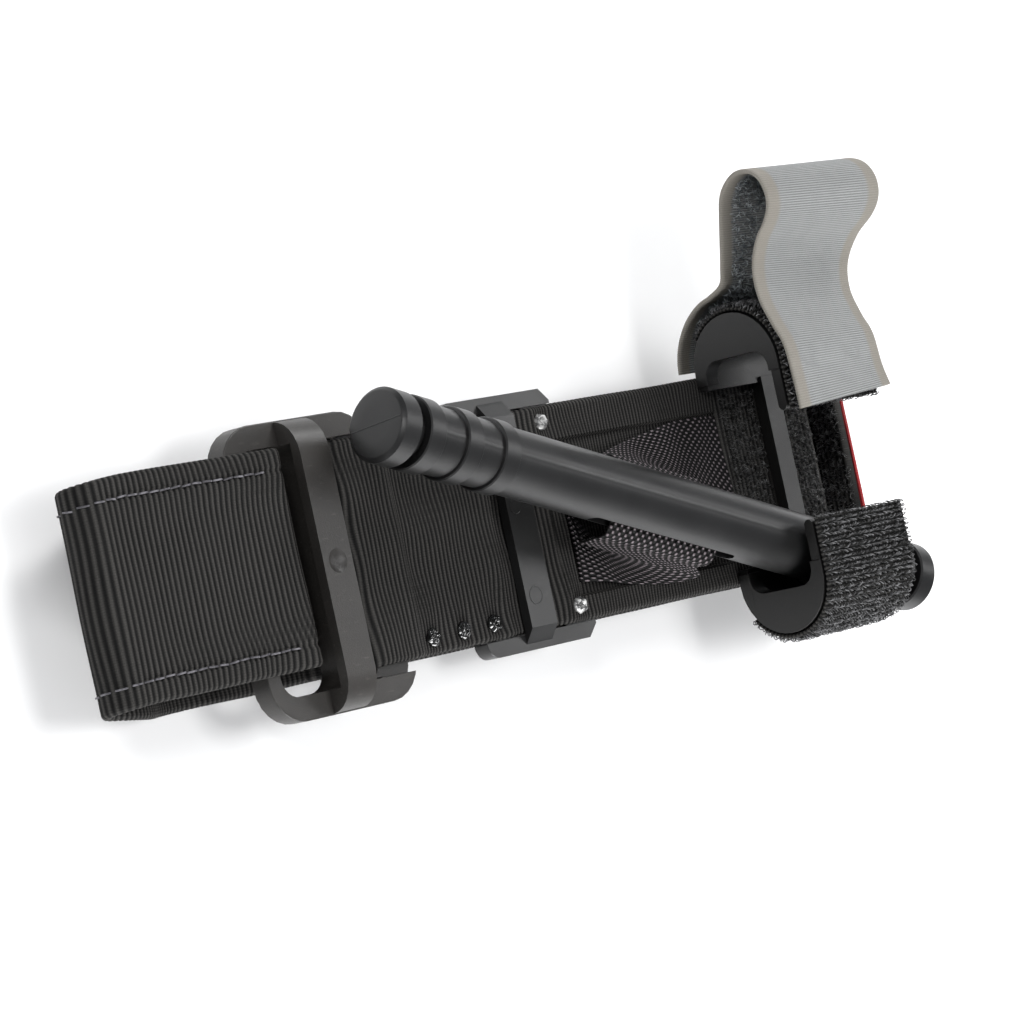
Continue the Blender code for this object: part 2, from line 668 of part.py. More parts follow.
def inner_band_branch(name, side):
    """One branch, from the window's end to the rod's side: a quarter fan that lies on the run below."""
    half = INNER_BAND_WIDTH / 2
    end = WINDOW_LEFT + GAP if side < 0 else WINDOW_RIGHT - GAP
    along = Vector((math.cos(ROD_YAW), math.sin(ROD_YAW)))
    aside = Vector((-along.y, along.x))
    middle = Vector((0.0, ROD_OFFSET))
    reach = RIB_RADIUS + INNER_BAND_THICKNESS + 2 * GAP
    tip = middle + (aside * reach - along * half) * side
    root = middle + (aside * reach + along * half * 0.2) * side
    swell = middle + (aside * (reach + 0.0040) - along * half * 0.4) * side
    outline = [(end, side * (half - 2 * GAP)), (end, 0.0), tuple(root), tuple(tip), tuple(swell)]
    if side > 0:
        outline.insert(4, tuple(middle + (aside * (reach + 0.0020) - along * half)))
    floor = FACE_Z + GAP
    return slab(name, outline, floor, floor + 2 * INNER_BAND_THICKNESS, "Z", webbing())


# ---------------------------------------------------------------- hook tape and strap
def hook_patch(name, side, pinch=0.0):
    """Hook tape round an arm's back and over its lip, pinched thinner where the strap crosses down to it."""
    low = ARM_RADIUS + GAP
    high = low + PATCH_THICKNESS
    outline = arc((ARM_SPREAD, ARM_Z), low, -52, 90, 8)
    outline += [(LIP_TIP, ARM_Z + low), (LIP_TIP, ARM_Z + high)]
    for step in range(19):
        turn = 90 - 142 * step / 18
        thin = pinch * math.exp(-((turn - PINCH_TURN) / 18) ** 2)
        outline += arc((ARM_SPREAD, ARM_Z), high - thin, turn, turn)[:1]
    outline = [(side * y, z) for y, z in outline]
    return slab(name, outline, CLIP_LEFT + 0.0002, CLIP_RIGHT - 0.0002, "X", hook_tape())


def smooth_route(points, per_span=5):
    """A Catmull-Rom curve through the points, with its heading at each."""
    route = []
    ends = [2 * points[0] - points[1]] + points + [2 * points[-1] - points[-2]]
    for index in range(1, len(ends) - 2):
        before, start, end, after = ends[index - 1:index + 3]
        last = per_span + (1 if index == len(ends) - 3 else 0)
        for step in range(last):
            t = step / per_span
            at = 0.5 * (2 * start + (end - before) * t + (2 * before - 5 * start + 4 * end - after) * t * t
                        + (3 * start - before - 3 * end + after) * t ** 3)
            slope = 0.5 * ((end - before) + 2 * (2 * before - 5 * start + 4 * end - after) * t
                           + 3 * (3 * start - before - 3 * end + after) * t * t)
            route.append((at, math.degrees(math.atan2(slope.y, slope.x))))
    return route


def strap_piece(name, route):
    line = Centreline(0, 0, 0)
    line.points = route
    return slab(name, line.outline(STRAP_THICKNESS), CLIP_MIDDLE - STRAP_WIDTH / 2, CLIP_MIDDLE + STRAP_WIDTH / 2,
                "X", grey_tape())


def strap_anchor():
    """Fixed end of the retaining strap, under and outside the far arm."""
    centre = Vector((ARM_SPREAD, ARM_Z))
    start = -86.0
    route = []
    for index in range(8):
        angle = start + (STRAP_HINGE_TURN - start) * index / 7
        turn = math.radians(angle)
        route.append((centre + Vector((math.cos(turn), math.sin(turn))) * STRAP_RADIUS, angle + 90))
    return strap_piece("strap_anchor", route)


def strap_loop():
    """Free part: out from the arm, round its bight and back over the lip.

    The bight's points are (out, up) from the centre of the arm's arc, in strap radii.
    """
    centre = Vector((ARM_SPREAD, ARM_Z))
    start = math.radians(STRAP_HINGE_TURN + 5)
    lip = ARM_RADIUS + PATCH_THICKNESS + 2 * GAP + STRAP_THICKNESS / 2
    bight = [(1.1037, 0.0296), (1.363, 0.1185), (1.9037, 0.2519), (2.2148, 0.3407), (2.3926, 0.4889),
             (2.4815, 0.6741), (2.4593, 0.8741), (2.3556, 1.0222), (2.163, 1.1037), (1.9481, 1.0963),
             (1.7556, 0.9852), (1.5333, 0.7852), (1.1926, 0.637), (0.8074, 0.637), (0.4296, 0.763)]
    shape = [(math.cos(start) * STRAP_RADIUS, math.sin(start) * STRAP_RADIUS)]
    shape += [(out * STRAP_RADIUS, up * STRAP_RADIUS) for out, up in bight]
    shape += [(0.0020, lip - 0.0001), (-0.0050, lip + 0.0002), (-0.0101, lip + 0.0002)]
    return strap_piece("strap_loop", smooth_route([centre + Vector(point) for point in shape], 4))


# ---------------------------------------------------------------- welds and sewing
def weld(name, x, y, face):
    mesh = bpy.data.meshes.new(name)
    work = bmesh.new()
    bmesh.ops.create_cone(work, cap_ends=True, segments=20, radius1=WELD_RADIUS, radius2=WELD_RADIUS * 0.6,
                          depth=WELD_HEIGHT)
    work.to_mesh(mesh)
    work.free()
    dot = add(name, mesh, melted())
    dot.location = (x, y, face + GAP / 2 + WELD_HEIGHT / 2)
    smooth(dot)
    return dot


def welds():
    for word, side in (("near", -1), ("far", 1)):
        y = side * (HALF_BAND - WELD_INSET)
        for number, x in enumerate(LOOP_WELDS, 1):
            weld(f"loop_weld_{word}_{number}", x, y, FACE_Z)
        weld(f"plate_weld_{word}", PLATE_WELD, y, FACE_Z)


def sewing_line(name, side):
    middle = TAIL_TOP_SHIFT + side * (TAIL_WIDTH / 2 - SEAM_INSET)
    face = TAIL_TOP_Z + HALF_T + GAP / 2
    return box(name, (LEFT_FOLD, middle - SEAM_WIDTH / 2, face),
               (TAIL_RISE_X - 0.004, middle + SEAM_WIDTH / 2, face + SEAM_HEIGHT), thread())


def build():
    global model, cutters
    for old in list(bpy.data.objects):
        bpy.data.objects.remove(old)
    model = collection("windlass_tourniquet")
    cutters = collection("cutters")
    buckle()
    stabiliser_plate()
    rod_clip()
    windlass_rod()
    band_buckle_loop()
    band_window_run()
    band_cover_run()
    band_inner_fold()
    band_slot_run()
    band_tail()
    band_tip()
    tip_tab()
    inner_band_loop()
    inner_band_branch("inner_band_left", -1)
    inner_band_branch("inner_band_right", 1)
    hook_patch("hook_patch_near", -1)
    hook_patch("hook_patch_far", 1, PATCH_PINCH)
    strap_anchor()
    strap_loop()
    welds()
    sewing_line("sewing_line_near", -1)
    sewing_line("sewing_line_far", 1)


build()
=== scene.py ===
# %% [markdown]
# # Windlass tourniquet: how it looks
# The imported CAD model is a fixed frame: it says where every piece is and how it moves.
# This lesson puts the real surfaces round that frame. Hard plastic pieces get small edge radii and a
# moulded finish. Woven pieces are drawn again as strips with real ribs, real stitches and real pile,
# because black webbing is only told from black plastic by how its surface catches the light.

import math

import bmesh
import bpy
import numpy as np
from mathutils import Matrix, Vector


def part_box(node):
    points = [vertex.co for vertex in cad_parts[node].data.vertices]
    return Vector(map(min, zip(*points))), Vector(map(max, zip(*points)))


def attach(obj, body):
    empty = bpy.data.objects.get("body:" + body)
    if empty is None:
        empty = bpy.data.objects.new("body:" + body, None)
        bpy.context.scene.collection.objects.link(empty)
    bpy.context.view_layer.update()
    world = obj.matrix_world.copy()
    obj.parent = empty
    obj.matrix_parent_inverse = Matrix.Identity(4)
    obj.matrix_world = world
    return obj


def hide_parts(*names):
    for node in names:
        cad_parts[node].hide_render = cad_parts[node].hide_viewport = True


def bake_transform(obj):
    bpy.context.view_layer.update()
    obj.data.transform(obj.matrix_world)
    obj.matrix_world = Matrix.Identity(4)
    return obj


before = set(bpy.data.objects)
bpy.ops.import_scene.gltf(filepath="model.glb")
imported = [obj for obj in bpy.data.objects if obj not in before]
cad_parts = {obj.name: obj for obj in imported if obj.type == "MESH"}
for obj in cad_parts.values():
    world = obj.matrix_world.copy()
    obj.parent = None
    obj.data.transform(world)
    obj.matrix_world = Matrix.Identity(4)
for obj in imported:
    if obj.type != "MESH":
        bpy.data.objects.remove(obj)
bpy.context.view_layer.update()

# %% [markdown]
# ## Camera, light and floor
# The camera comes first, so that every later step can be judged from the same place. It looks down
# the band from its folded end, rolled so that the band runs almost level across the picture.
# A camera can be aimed with a Track To constraint, but its roll is easier to read as one angle here.

# %% Camera
CAMERA_PLACE = Vector((-0.54949, -0.01036, 0.50749))
CAMERA_AIM = Vector((-0.0254, 0.0018, 0.0140))
CAMERA_ROLL = math.radians(77.05)
CAMERA_LENS = 147.7


def aimed(place, aim, roll=0.0):
    """A matrix at place whose -Z looks at aim, with +X level before the roll."""
    ahead = (aim - place).normalized()
    level = ahead.cross(Vector((0, 0, 1))).normalized()
    upward = level.cross(ahead)
    right = level * math.cos(roll) + upward * math.sin(roll)
    turn = Matrix((right, right.cross(ahead), -ahead)).transposed().to_4x4()
    return Matrix.Translation(place) @ turn


camera = bpy.data.objects.new("camera", bpy.data.cameras.new("camera"))
camera.data.lens = CAMERA_LENS
camera.data.clip_start = 0.01
camera.matrix_world = aimed(CAMERA_PLACE, CAMERA_AIM, CAMERA_ROLL)
bpy.context.scene.collection.objects.link(camera)
bpy.context.scene.camera = camera
print("camera is", round((CAMERA_AIM - CAMERA_PLACE).length, 3), "m from its aim")

# %% [markdown]
# Black things are lit by what they reflect. Large soft panels give the broad grey bands along the
# rod and the thin bright lines on the plastic edges, and an even pale surround fills the rest.

# %% Lights and surround
PANELS = [  # name, place, width, watts
    ("near_panel", (-0.05, -0.80, 0.26), 0.42, 9.0),
    ("far_panel", (0.40, 0.60, 0.55), 0.30, 6.0),
    ("right_panel", (0.72, 0.05, 0.58), 0.30, 1.3),
    ("left_panel", (-0.75, 0.35, 0.60), 0.25, 3.0),
    ("top_panel", (0.05, -0.05, 0.95), 0.35, 3.5),
]
for name, place, width, watts in PANELS:
    panel = bpy.data.lights.new(name, "AREA")
    panel.energy = watts
    panel.size = width
    holder = bpy.data.objects.new(name, panel)
    holder.matrix_world = aimed(Vector(place), Vector((0, 0, 0.01)))
    bpy.context.scene.collection.objects.link(holder)

surround = bpy.data.worlds.new("surround")
surround.use_nodes = True
backdrop = surround.node_tree.nodes["Background"]
backdrop.inputs["Color"].default_value = (0.93, 0.95, 1.0, 1.0)
backdrop.inputs["Strength"].default_value = 0.30
bpy.context.scene.world = surround
bpy.context.scene.view_settings.view_transform = "Standard"
print("lights:", len(PANELS), "panels")

# %% [markdown]
# ## Materials
# A finish is an expression: noise, ribs and wear are numbers that change over the surface, and the
# colour, roughness and bump are worked out from them. Writing that as Python keeps it readable, so a
# small class wraps one output socket. Adding or multiplying two of them makes the Math node.

# %% A socket that can be calculated with
class Wire:
    """One output socket in a material's node tree."""

    def __init__(self, tree, socket=None):
        self.tree = tree
        self.socket = socket

    def node(self, kind, settings=None, values=None, output=0):
        """Any shader node: its settings first, then its sockets' values or links."""
        made = self.tree.nodes.new("ShaderNode" + kind)
        for key, value in (settings or {}).items():
            setattr(made, key, value)
        for key, value in (values or {}).items():
            if isinstance(value, Wire):
                self.tree.links.new(value.socket, made.inputs[key])
            else:
                made.inputs[key].default_value = value
        return Wire(self.tree, made.outputs[output])

    def maths(self, operation, *numbers):
        return self.node("Math", {"operation": operation}, dict(enumerate(numbers)))

    def __add__(self, other):
        return self.maths("ADD", self, other)

    __radd__ = __add__

    def __sub__(self, other):
        return self.maths("SUBTRACT", self, other)

    def __rsub__(self, other):
        return self.maths("SUBTRACT", other, self)

    def __mul__(self, other):
        return self.maths("MULTIPLY", self, other)

    __rmul__ = __mul__

    def __pow__(self, other):
        return self.maths("POWER", self, other)

    def sine(self):
        return self.maths("SINE", self)

    def size(self):
        """The value without its sign."""
        return self.maths("ABSOLUTE", self)

    def between(self, low, high):
        """0 below low, 1 above high, and smooth in between."""
        return self.node("MapRange", {"interpolation_type": "SMOOTHSTEP"},
                         {"Value": self, "From Min": low, "From Max": high})

    def mix(self, first, second):
        """A colour from first (where this is 0) to second (where it is 1)."""
        return self.node("Mix", {"data_type": "RGBA"}, {0: self, 6: first, 7: second}, 2)

    def noise(self, place, scale, detail=3.0):
        return self.node("TexNoise", None, {"Vector": place, "Scale": scale, "Detail": detail})

    def stretched(self, place, by):
        """A place with its three parts multiplied, so a pattern is drawn out along one of them."""
        return self.node("VectorMath", {"operation": "MULTIPLY"}, {0: place, 1: by})


def finish(name, paint, **constants):
    """A material: paint(wire) gives the varying sockets, constants set the others."""
    made = bpy.data.materials.new(name)
    made.use_nodes = True
    shader = made.node_tree.nodes["Principled BSDF"]
    for key, value in constants.items():
        shader.inputs[key.replace("_", " ").title().replace("Ior", "IOR")].default_value = value
    start = Wire(made.node_tree)
    for key, wire in paint(start).items():
        made.node_tree.links.new(wire.socket, shader.inputs[key])
    return made


def bumped(start, height, distance):
    """A normal from a height between 0 and 1 that stands for so many metres."""
    return start.node("Bump", None, {"Height": height, "Distance": distance, "Strength": 1.0})


print("shader expressions are ready")

# %% [markdown]
# Moulded nylon is nearly black. The mould is finely spark eroded, so it is matte, with a sheen that
# wanders a little and small paler scuffs where it has been handled.

# %% Moulded plastic
GRAIN_SCALE = 5200.0


def even(level):
    """A neutral colour."""
    return (level, level, level, 1)


def moulded(dark, light, rough, grain_height):
    def paint(start):
        place = start.node("TexCoord", output=3)
        texture = start.noise(place, GRAIN_SCALE)
        cloud = start.noise(place, 90.0)
        long_place = start.stretched(place, (1.0, 4.0, 4.0))
        scuff = start.noise(long_place, 420.0, 6.0).between(0.60, 0.74)
        tone = cloud * 0.6 + texture * 0.4
        return {"Base Color": (scuff * 0.35 + tone * 0.65).mix(dark, light),
                "Roughness": rough + cloud * 0.16 - scuff * 0.05,
                "Normal": bumped(start, texture, grain_height)}
    return paint


PLASTIC = finish("moulded_plastic", moulded(even(0.004), (0.013, 0.0125, 0.012, 1), 0.33, 0.00002),
                 specular_ior_level=0.4)
SMOOTH_PLASTIC = finish("smooth_plastic", moulded(even(0.006), even(0.022), 0.28, 0.00001),
                        specular_ior_level=0.5)
PLASTIC_ROD = finish("rod_plastic", moulded(even(0.004), (0.012, 0.012, 0.0125, 1), 0.30, 0.00001),
                     specular_ior_level=0.45)
worn = moulded((0.008, 0.0075, 0.007, 1), (0.060, 0.055, 0.050, 1), 0.34, 0.00004)
BUCKLE_PLASTIC = finish("buckle_plastic", worn, specular_ior_level=0.45)


def faint_patches(start):
    return {"Roughness": start.noise(start.node("TexCoord", output=3), 3.0) * 0.1 + 0.6}


FLOOR = finish("pale_floor", faint_patches, base_color=even(0.95))
print("plastics:", PLASTIC.name, SMOOTH_PLASTIC.name, PLASTIC_ROD.name, BUCKLE_PLASTIC.name)

# %% [markdown]
# Woven pieces carry an attribute named cloth: metres along the strip, metres across it, and how high
# the surface stands on its rib. The yarns that run lengthwise show as fine lines over each rib, so the
# bump follows that attribute and bends with the strip, which a pattern in space would not. The colour
# uses the rib height too, for a painted sheen on the crowns and painted shade in the valleys.

# %% Webbing, tape and thread
WARP_PITCH = 0.00042


def cloth_parts(start):
    """The cloth attribute whole, then its three parts: along, across and ridge."""
    place = start.node("Attribute", {"attribute_name": "cloth"}, output=1)
    parts = place.node("SeparateXYZ", None, {0: place}).socket.node.outputs
    return place, *(Wire(start.tree, part) for part in parts)


def woven(shaded_valley, lit_crown, glinting_fleck, rough, yarn_height):
    def paint(start):
        place, _, across, ridge = cloth_parts(start)
        yarn = (across * (2 * math.pi / WARP_PITCH)).sine() * 0.5 + 0.5
        fibre = start.noise(start.stretched(place, (1.0, 3.0, 1.0)), 3800.0)
        cloud = start.noise(place, 130.0)
        height = yarn * 0.6 + fibre * 0.4
        # Painted light from the rib height: crowns lighter as a painted sheen, valleys darker as
        # painted shade, and pale flecks on the crowns as painted glints.
        lit = (ridge ** 3.5) * (fibre * 0.7 + yarn * 0.15 + cloud * 0.35)
        colour = (fibre.between(0.58, 0.78) * (ridge ** 3.0) * 0.8).mix(lit.mix(shaded_valley, lit_crown), glinting_fleck)
        return {"Base Color": colour, "Roughness": rough - fibre * 0.15,
                "Normal": bumped(start, height, yarn_height)}
    return paint


# The three colours of each weave: painted shade in the valleys, painted sheen on the crowns, painted
# glints on the crowns.
black_weave = woven(even(0.0008), (0.070, 0.067, 0.063, 1), (0.16, 0.155, 0.147, 1), 0.80, 0.00005)
WEBBING = finish("ribbed_webbing", black_weave, specular_ior_level=0.15)
RED = finish("red_tab", woven((0.25, 0.004, 0.006, 1), (0.62, 0.016, 0.022, 1), (0.8, 0.1, 0.1, 1),
                              0.75, 0.0001))


def grey_weave(half_width, selvedge):
    def paint(start):
        place, _, across, ridge = cloth_parts(start)
        fibre = start.noise(start.stretched(place, (4.0, 1.0, 1.0)), 2600.0)
        blotch = start.noise(place, 260.0, 5.0)
        border_at = half_width - selvedge
        edge = across.size().between(border_at - 0.0006, border_at + 0.0004)
        # The rib height paints the light here too: rib crowns lighter as a painted sheen and valleys
        # darker as painted shade, in the grey middle and the beige selvedges alike.
        tone = (ridge ** 2.0) * 0.7 + fibre * 0.45 - blotch.between(0.48, 0.70) * 0.35
        middle = tone.mix((0.040, 0.043, 0.044, 1), (0.38, 0.39, 0.385, 1))
        border = (ridge * 0.4 + fibre * 0.4).mix((0.13, 0.12, 0.10, 1), (0.32, 0.30, 0.265, 1))
        return {"Base Color": edge.mix(middle, border), "Roughness": 0.75 - fibre * 0.2,
                "Normal": bumped(start, fibre, 0.00006)}
    return paint


def strand(dark, light, rough):
    def paint(start):
        place = start.node("TexCoord", output=3)
        tone = start.noise(place, 900.0)
        return {"Base Color": tone.between(0.40, 0.66).mix(dark, light),
                "Roughness": rough + tone * 0.2}
    return paint


STITCH = finish("sewing_thread", strand((0.045, 0.043, 0.050, 1), (0.15, 0.145, 0.16, 1), 0.55))
PILE = finish("loop_pile", strand(even(0.002), even(0.11), 0.25))
HOOKS = finish("hook_tape", strand(even(0.014), (0.17, 0.17, 0.175, 1), 0.30))
GREY_PILE = finish("grey_pile", strand((0.14, 0.155, 0.165, 1), (0.60, 0.64, 0.66, 1), 0.40))
MELTED = finish("melted_nylon", strand(even(0.003), even(0.012), 0.06), coat_weight=0.6)
# The weld dots on the plate get this pale colour as a painted silvery reflection.
MELTED_PAINTED_REFLECTION = finish("melted_nylon_painted_reflection", strand(even(0.08), (0.55, 0.55, 0.54, 1), 0.12),
                     coat_weight=0.6)
print("cloth finishes are ready")

# %% [markdown]
# The inner band is a plain weave of flat shiny yarns, over one and under one. Two sine waves, one
# along and one across, are multiplied: where both are high a yarn crosses on top, and it glints.

# %% Plain weave
INNER_YARN = 0.00075


def plain_weave(start):
    place, along, across, _ = cloth_parts(start)
    turn = math.pi / INNER_YARN
    knot = (along * turn).sine() * (across * turn).sine()
    shine = start.noise(place, 800.0)
    glint = knot.between(0.15, 0.90) * shine.between(0.25, 0.60)
    return {"Base Color": glint.mix(even(0.001), (0.23, 0.195, 0.21, 1)),
            "Roughness": 0.75 - glint * 0.3, "Normal": bumped(start, knot, 0.00030)}


INNER = finish("inner_band", plain_weave, specular_ior_level=0.2)
print("weave:", INNER.name)

# %% [markdown]
# ## Strips
# Every woven piece is a strip that follows a line in its own plane: straights and bends, as a person
# would fold it. The line is walked with a small turtle, then read again at even steps, because ribs
# are set along the strip and not along X.

# %% A line of straights and bends
class Trail:
    """The middle line of a strip, seen from its side."""

    def __init__(self, first, second, heading):
        self.at = Vector((first, second))
        self.heading = math.radians(heading)
        self.spots = [(self.at.x, self.at.y, self.heading)]

    def move(self, length, turn):
        """Go on by a length while the heading turns evenly."""
        count = max(1, int(abs(turn) / math.radians(3)), int(length / 0.002))
        for _ in range(count):
            middle = self.heading + turn / count / 2
            self.at = self.at + Vector((math.cos(middle), math.sin(middle))) * length / count
            self.heading += turn / count
            self.spots.append((self.at.x, self.at.y, self.heading))
        return self

    def straight(self, length):
        return self.move(length, 0.0)

    def bend(self, radius, degrees):
        turn = math.radians(degrees)
        return self.move(radius * abs(turn), turn)

    def step_over(self, rise, length):
        """Move sideways by rise (left is positive) with two smooth bends."""
        side = 1 if rise > 0 else -1
        angle = math.degrees(2 * math.atan2(abs(rise), length))
        radius = length / 2 / math.sin(math.radians(angle))
        return self.bend(radius, side * angle).bend(radius, -side * angle)

    def length(self):
        spots = np.array(self.spots)
        return float(np.hypot(*np.diff(spots[:, :2], axis=0).T).sum())

    def spaced(self, step):
        """(distance along, places, headings) at even steps."""
        spots = np.array(self.spots)
        along = np.concatenate([[0], np.cumsum(np.hypot(*np.diff(spots[:, :2], axis=0).T))])
        at = np.linspace(0, along[-1], int(along[-1] / step) + 2)
        return at, *(np.interp(at, along, spots[:, k]) for k in range(3))


def piece(name, points, faces, *finishes, cloth=None, smooth=True):
    """A mesh object from its points and faces, with its cloth coordinates."""
    mesh = bpy.data.meshes.new(name)
    mesh.from_pydata([tuple(point) for point in points], [], [tuple(face) for face in faces])
    for one in finishes:
        mesh.materials.append(one)
    if cloth is not None:
        layer = mesh.attributes.new("cloth", "FLOAT_VECTOR", "POINT")
        layer.data.foreach_set("vector", np.asarray(cloth, np.float32).ravel())
    if smooth:
        mesh.shade_smooth()
    made = bpy.data.objects.new(name, mesh)
    bpy.context.scene.collection.objects.link(made)
    return made


def closed(*parts, **more):
    """A piece that encloses a volume, so its faces are turned to look outward."""
    made = piece(*parts, **more)
    work = bmesh.new()
    work.from_mesh(made.data)
    bmesh.ops.recalc_face_normals(work, faces=work.faces)
    work.to_mesh(made.data)
    work.free()
    return made


def placed(made, body, slot, *nodes):
    """Put a piece on its body, in place of any nodes it stands for. Its slot is not used."""
    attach(made, body)
    if nodes:
        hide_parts(*nodes)
    print(f"{made.name}: {len(made.data.polygons)} faces, rides on {body}")
    return made


print("piece helpers are ready")

# %% Grids of points as closed surfaces
def tube_faces(rows, around):
    """Quads of a grid whose rows are closed rings."""
    row, column = np.meshgrid(np.arange(rows - 1), np.arange(around), indexing="ij")
    after = (column + 1) % around
    return np.stack([row * around + column, row * around + after,
                     (row + 1) * around + after, (row + 1) * around + column], -1).reshape(-1, 4)


def capped_tube(rows, around):
    """A tube closed by a fan at each end, round the two points that follow its own."""
    faces = tube_faces(rows, around).tolist()
    first_middle, last = rows * around, (rows - 1) * around
    for k in range(around):
        after = (k + 1) % around
        faces += [(first_middle, k, after), (first_middle + 1, last + after, last + k)]
    return faces


def cloth_between(name, upper, lower, parts, finish_used):
    """A closed cloth from its two faces. Its parts are the cloth coordinates of either face."""
    points = np.concatenate([upper, lower[:, ::-1]], 1)
    rows, around = points.shape[:2]
    k = np.arange(around // 2 - 1)
    cap = np.stack([k, around - 1 - k, around - 2 - k, k + 1], -1)
    faces = np.concatenate([tube_faces(rows, around), cap, cap[:, ::-1] + (rows - 1) * around])
    cloth = np.stack([np.concatenate([part, part[:, ::-1]], 1) for part in parts], -1)
    return closed(name, points.reshape(-1, 3), faces, finish_used, cloth=cloth.reshape(-1, 3))


def unevenness(first, second, size, seed):
    """A repeatable wander between about -1 and 1, from a few sine waves of about that size."""
    draw = np.random.default_rng(seed)
    total = 0.0
    for _ in range(6):
        angle, start = draw.uniform(0, 2 * math.pi), draw.uniform(0, 2 * math.pi)
        stretch = draw.uniform(0.5, 1.6)
        place = first * math.cos(angle) + second * math.sin(angle)
        total = total + np.sin(place * stretch * 6.28 / size + start)
    return total / 3.5


def columns(width, count, *marks):
    """Places across a strip: even ones, close pairs beside each mark, and more at its edges."""
    near = [mark + shift for mark in marks for shift in (-0.00045, -0.00015, 0.00015, 0.00045)]
    inside = [v for v in near if abs(v) < width / 2 - 0.0004]
    edge = [side * (width / 2 - inset) for side in (-1, 1)
            for inset in (0.0, 0.0001, 0.0003, 0.0006, 0.0009)]
    every = np.concatenate([np.linspace(-width / 2, width / 2, count), inside, edge])
    return np.unique(np.round(every, 6))


print("strip helpers are ready")

# %% [markdown]
# Grosgrain ribs are thick weft cords under thin warp yarns. They are carved into the strip's own
# thickness, so a neighbour a third of a millimetre away still has its room. A rib is a round crown with
# a sharp valley, and a warp shifts the ribs where stitching or a weld has gathered them.

# %% A ribbed strip
RIB_PITCH = 0.00114
RIB_DEPTH = 0.00030
FINE_PITCH, FINEST_PITCH, FINE_DEPTH = 0.00098, 0.00080, 0.00024
EDGE_ROUND = 0.0009


def strip(name, trail, width, thickness, finish_used, middle=0.0, pitch=RIB_PITCH, depth=RIB_DEPTH,
          per_rib=6, across=None, warp=None, dent=None, lift=0.00010, seed=1, side=None):
    """A closed strip along a trail in XZ, its width along Y. dent(x, y) sinks the face that looks up.

    middle and depth are each one number or a function of the distance along. With side 1 or -1 the
    trail is in YZ instead, mirrored for -1, and the width runs along X.
    """
    along, first, second, heading = trail.spaced(pitch / per_rib)
    across = columns(width, 18) if across is None else across
    s, v = np.meshgrid(along, across, indexing="ij")
    middle = (middle(along) if callable(middle) else middle + 0 * along)[:, None]
    depth = (depth(along) if callable(depth) else depth + 0 * along)[:, None]
    x, y = first[:, None] + 0 * v, v + middle
    shifted = s + unevenness(s, v, 0.018, seed) * 0.00022
    if warp is not None:
        shifted = shifted + warp(x, y)
    ridge = np.abs(np.cos(math.pi * shifted / pitch)) ** 0.75
    edge = np.clip((np.abs(v) - (width / 2 - EDGE_ROUND)) / EDGE_ROUND, 0, 1)
    half = thickness / 2 * np.sqrt(1 - (edge * 0.94) ** 2)
    carve = depth * (ridge - 1) * (1 - 0.3 * edge)
    wander = unevenness(s, v, 0.022, seed + 7) * lift
    left, right = half + carve + wander, half + carve - wander
    if dent is not None:
        sunk = dent(x, y)
        looks_up = np.cos(heading)[:, None]
        left = left - sunk * (looks_up > 0.5)
        right = right - sunk * (looks_up < -0.5)
    frayed = 0.010 * (ridge - 0.6) + 0.004 * unevenness(s, v * 0, 0.03, seed + 3)
    sideways = v * (1 + edge * frayed) + middle
    upper, lower = ((first[:, None] - np.sin(heading)[:, None] * out,
                     second[:, None] + np.cos(heading)[:, None] * out) for out in (left, -right))
    if side is None:
        faces = [np.stack([a, sideways, b], -1) for a, b in (upper, lower)]
    else:
        faces = [np.stack([sideways, side * a, b], -1) for a, b in (upper, lower)]
    return cloth_between(name, *faces, (shifted, v, ridge), finish_used)


print("rib pitch", RIB_PITCH * 1000, "mm")

# %% [markdown]
# ## The levels of the folded band
# The band is folded into runs that lie on each other. Their heights come from the frame's boxes, and
# the bends between them repeat the CAD's own straights and radii.

# %% Levels and places
GAP = 0.0003
BAND_WIDTH = 0.0381
TAIL_WIDTH = 0.0360
BAND_T = 0.0019
PITCH = BAND_T + GAP
FACE_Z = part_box("band_window_run")[1].z
TOP_Z = FACE_Z - BAND_T / 2
TAIL_Z = BAND_T / 2
RUN_Z = [TAIL_Z + level * PITCH for level in range(4)]
BUCKLE_LOW, BUCKLE_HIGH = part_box("buckle")
CLIP_LOW, CLIP_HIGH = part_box("rod_clip")
LEFT_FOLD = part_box("band_slot_run")[0].x
TAIL_TOP_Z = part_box("band_slot_run")[1].z - BAND_T / 2
BRIDGE_LEFT = BUCKLE_LOW.x + 0.0128
TAIL_RISE_X = BRIDGE_LEFT - 0.0007 - BAND_T / 2
LOOP_BAR_LEFT = BUCKLE_HIGH.x - 0.0074
LOOP_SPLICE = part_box("band_buckle_loop")[0].x
SPLICE_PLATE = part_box("band_window_run")[0].x
SPLICE_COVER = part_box("band_window_run")[1].x
TAIL_TOP_SHIFT, TAIL_SHIFT = 0.0012, -0.0012
RIGHT_TURN, INNER_RIGHT_TURN, INNER_LEFT_TURN = 0.0590, 0.0575, -0.0715
TIP_BEND, TIP_RADIUS, TIP_HINGE_TURN, TIP_RISE = 0.0592, 0.0080, 45.0, 0.0054
SEAM = TAIL_WIDTH / 2 - 0.0036
RISE_BEND, TOP_BEND, FOLD_BEND = 0.004, 0.003, 0.0033
print("face", round(FACE_Z, 4), "tail top", round(TAIL_TOP_Z, 4))

# %% [markdown]
# The upper run of the tail is the face that shows most. Two lines of stitching hold its hems, and each
# line pulls a shallow groove, with the ribs bowed towards it.

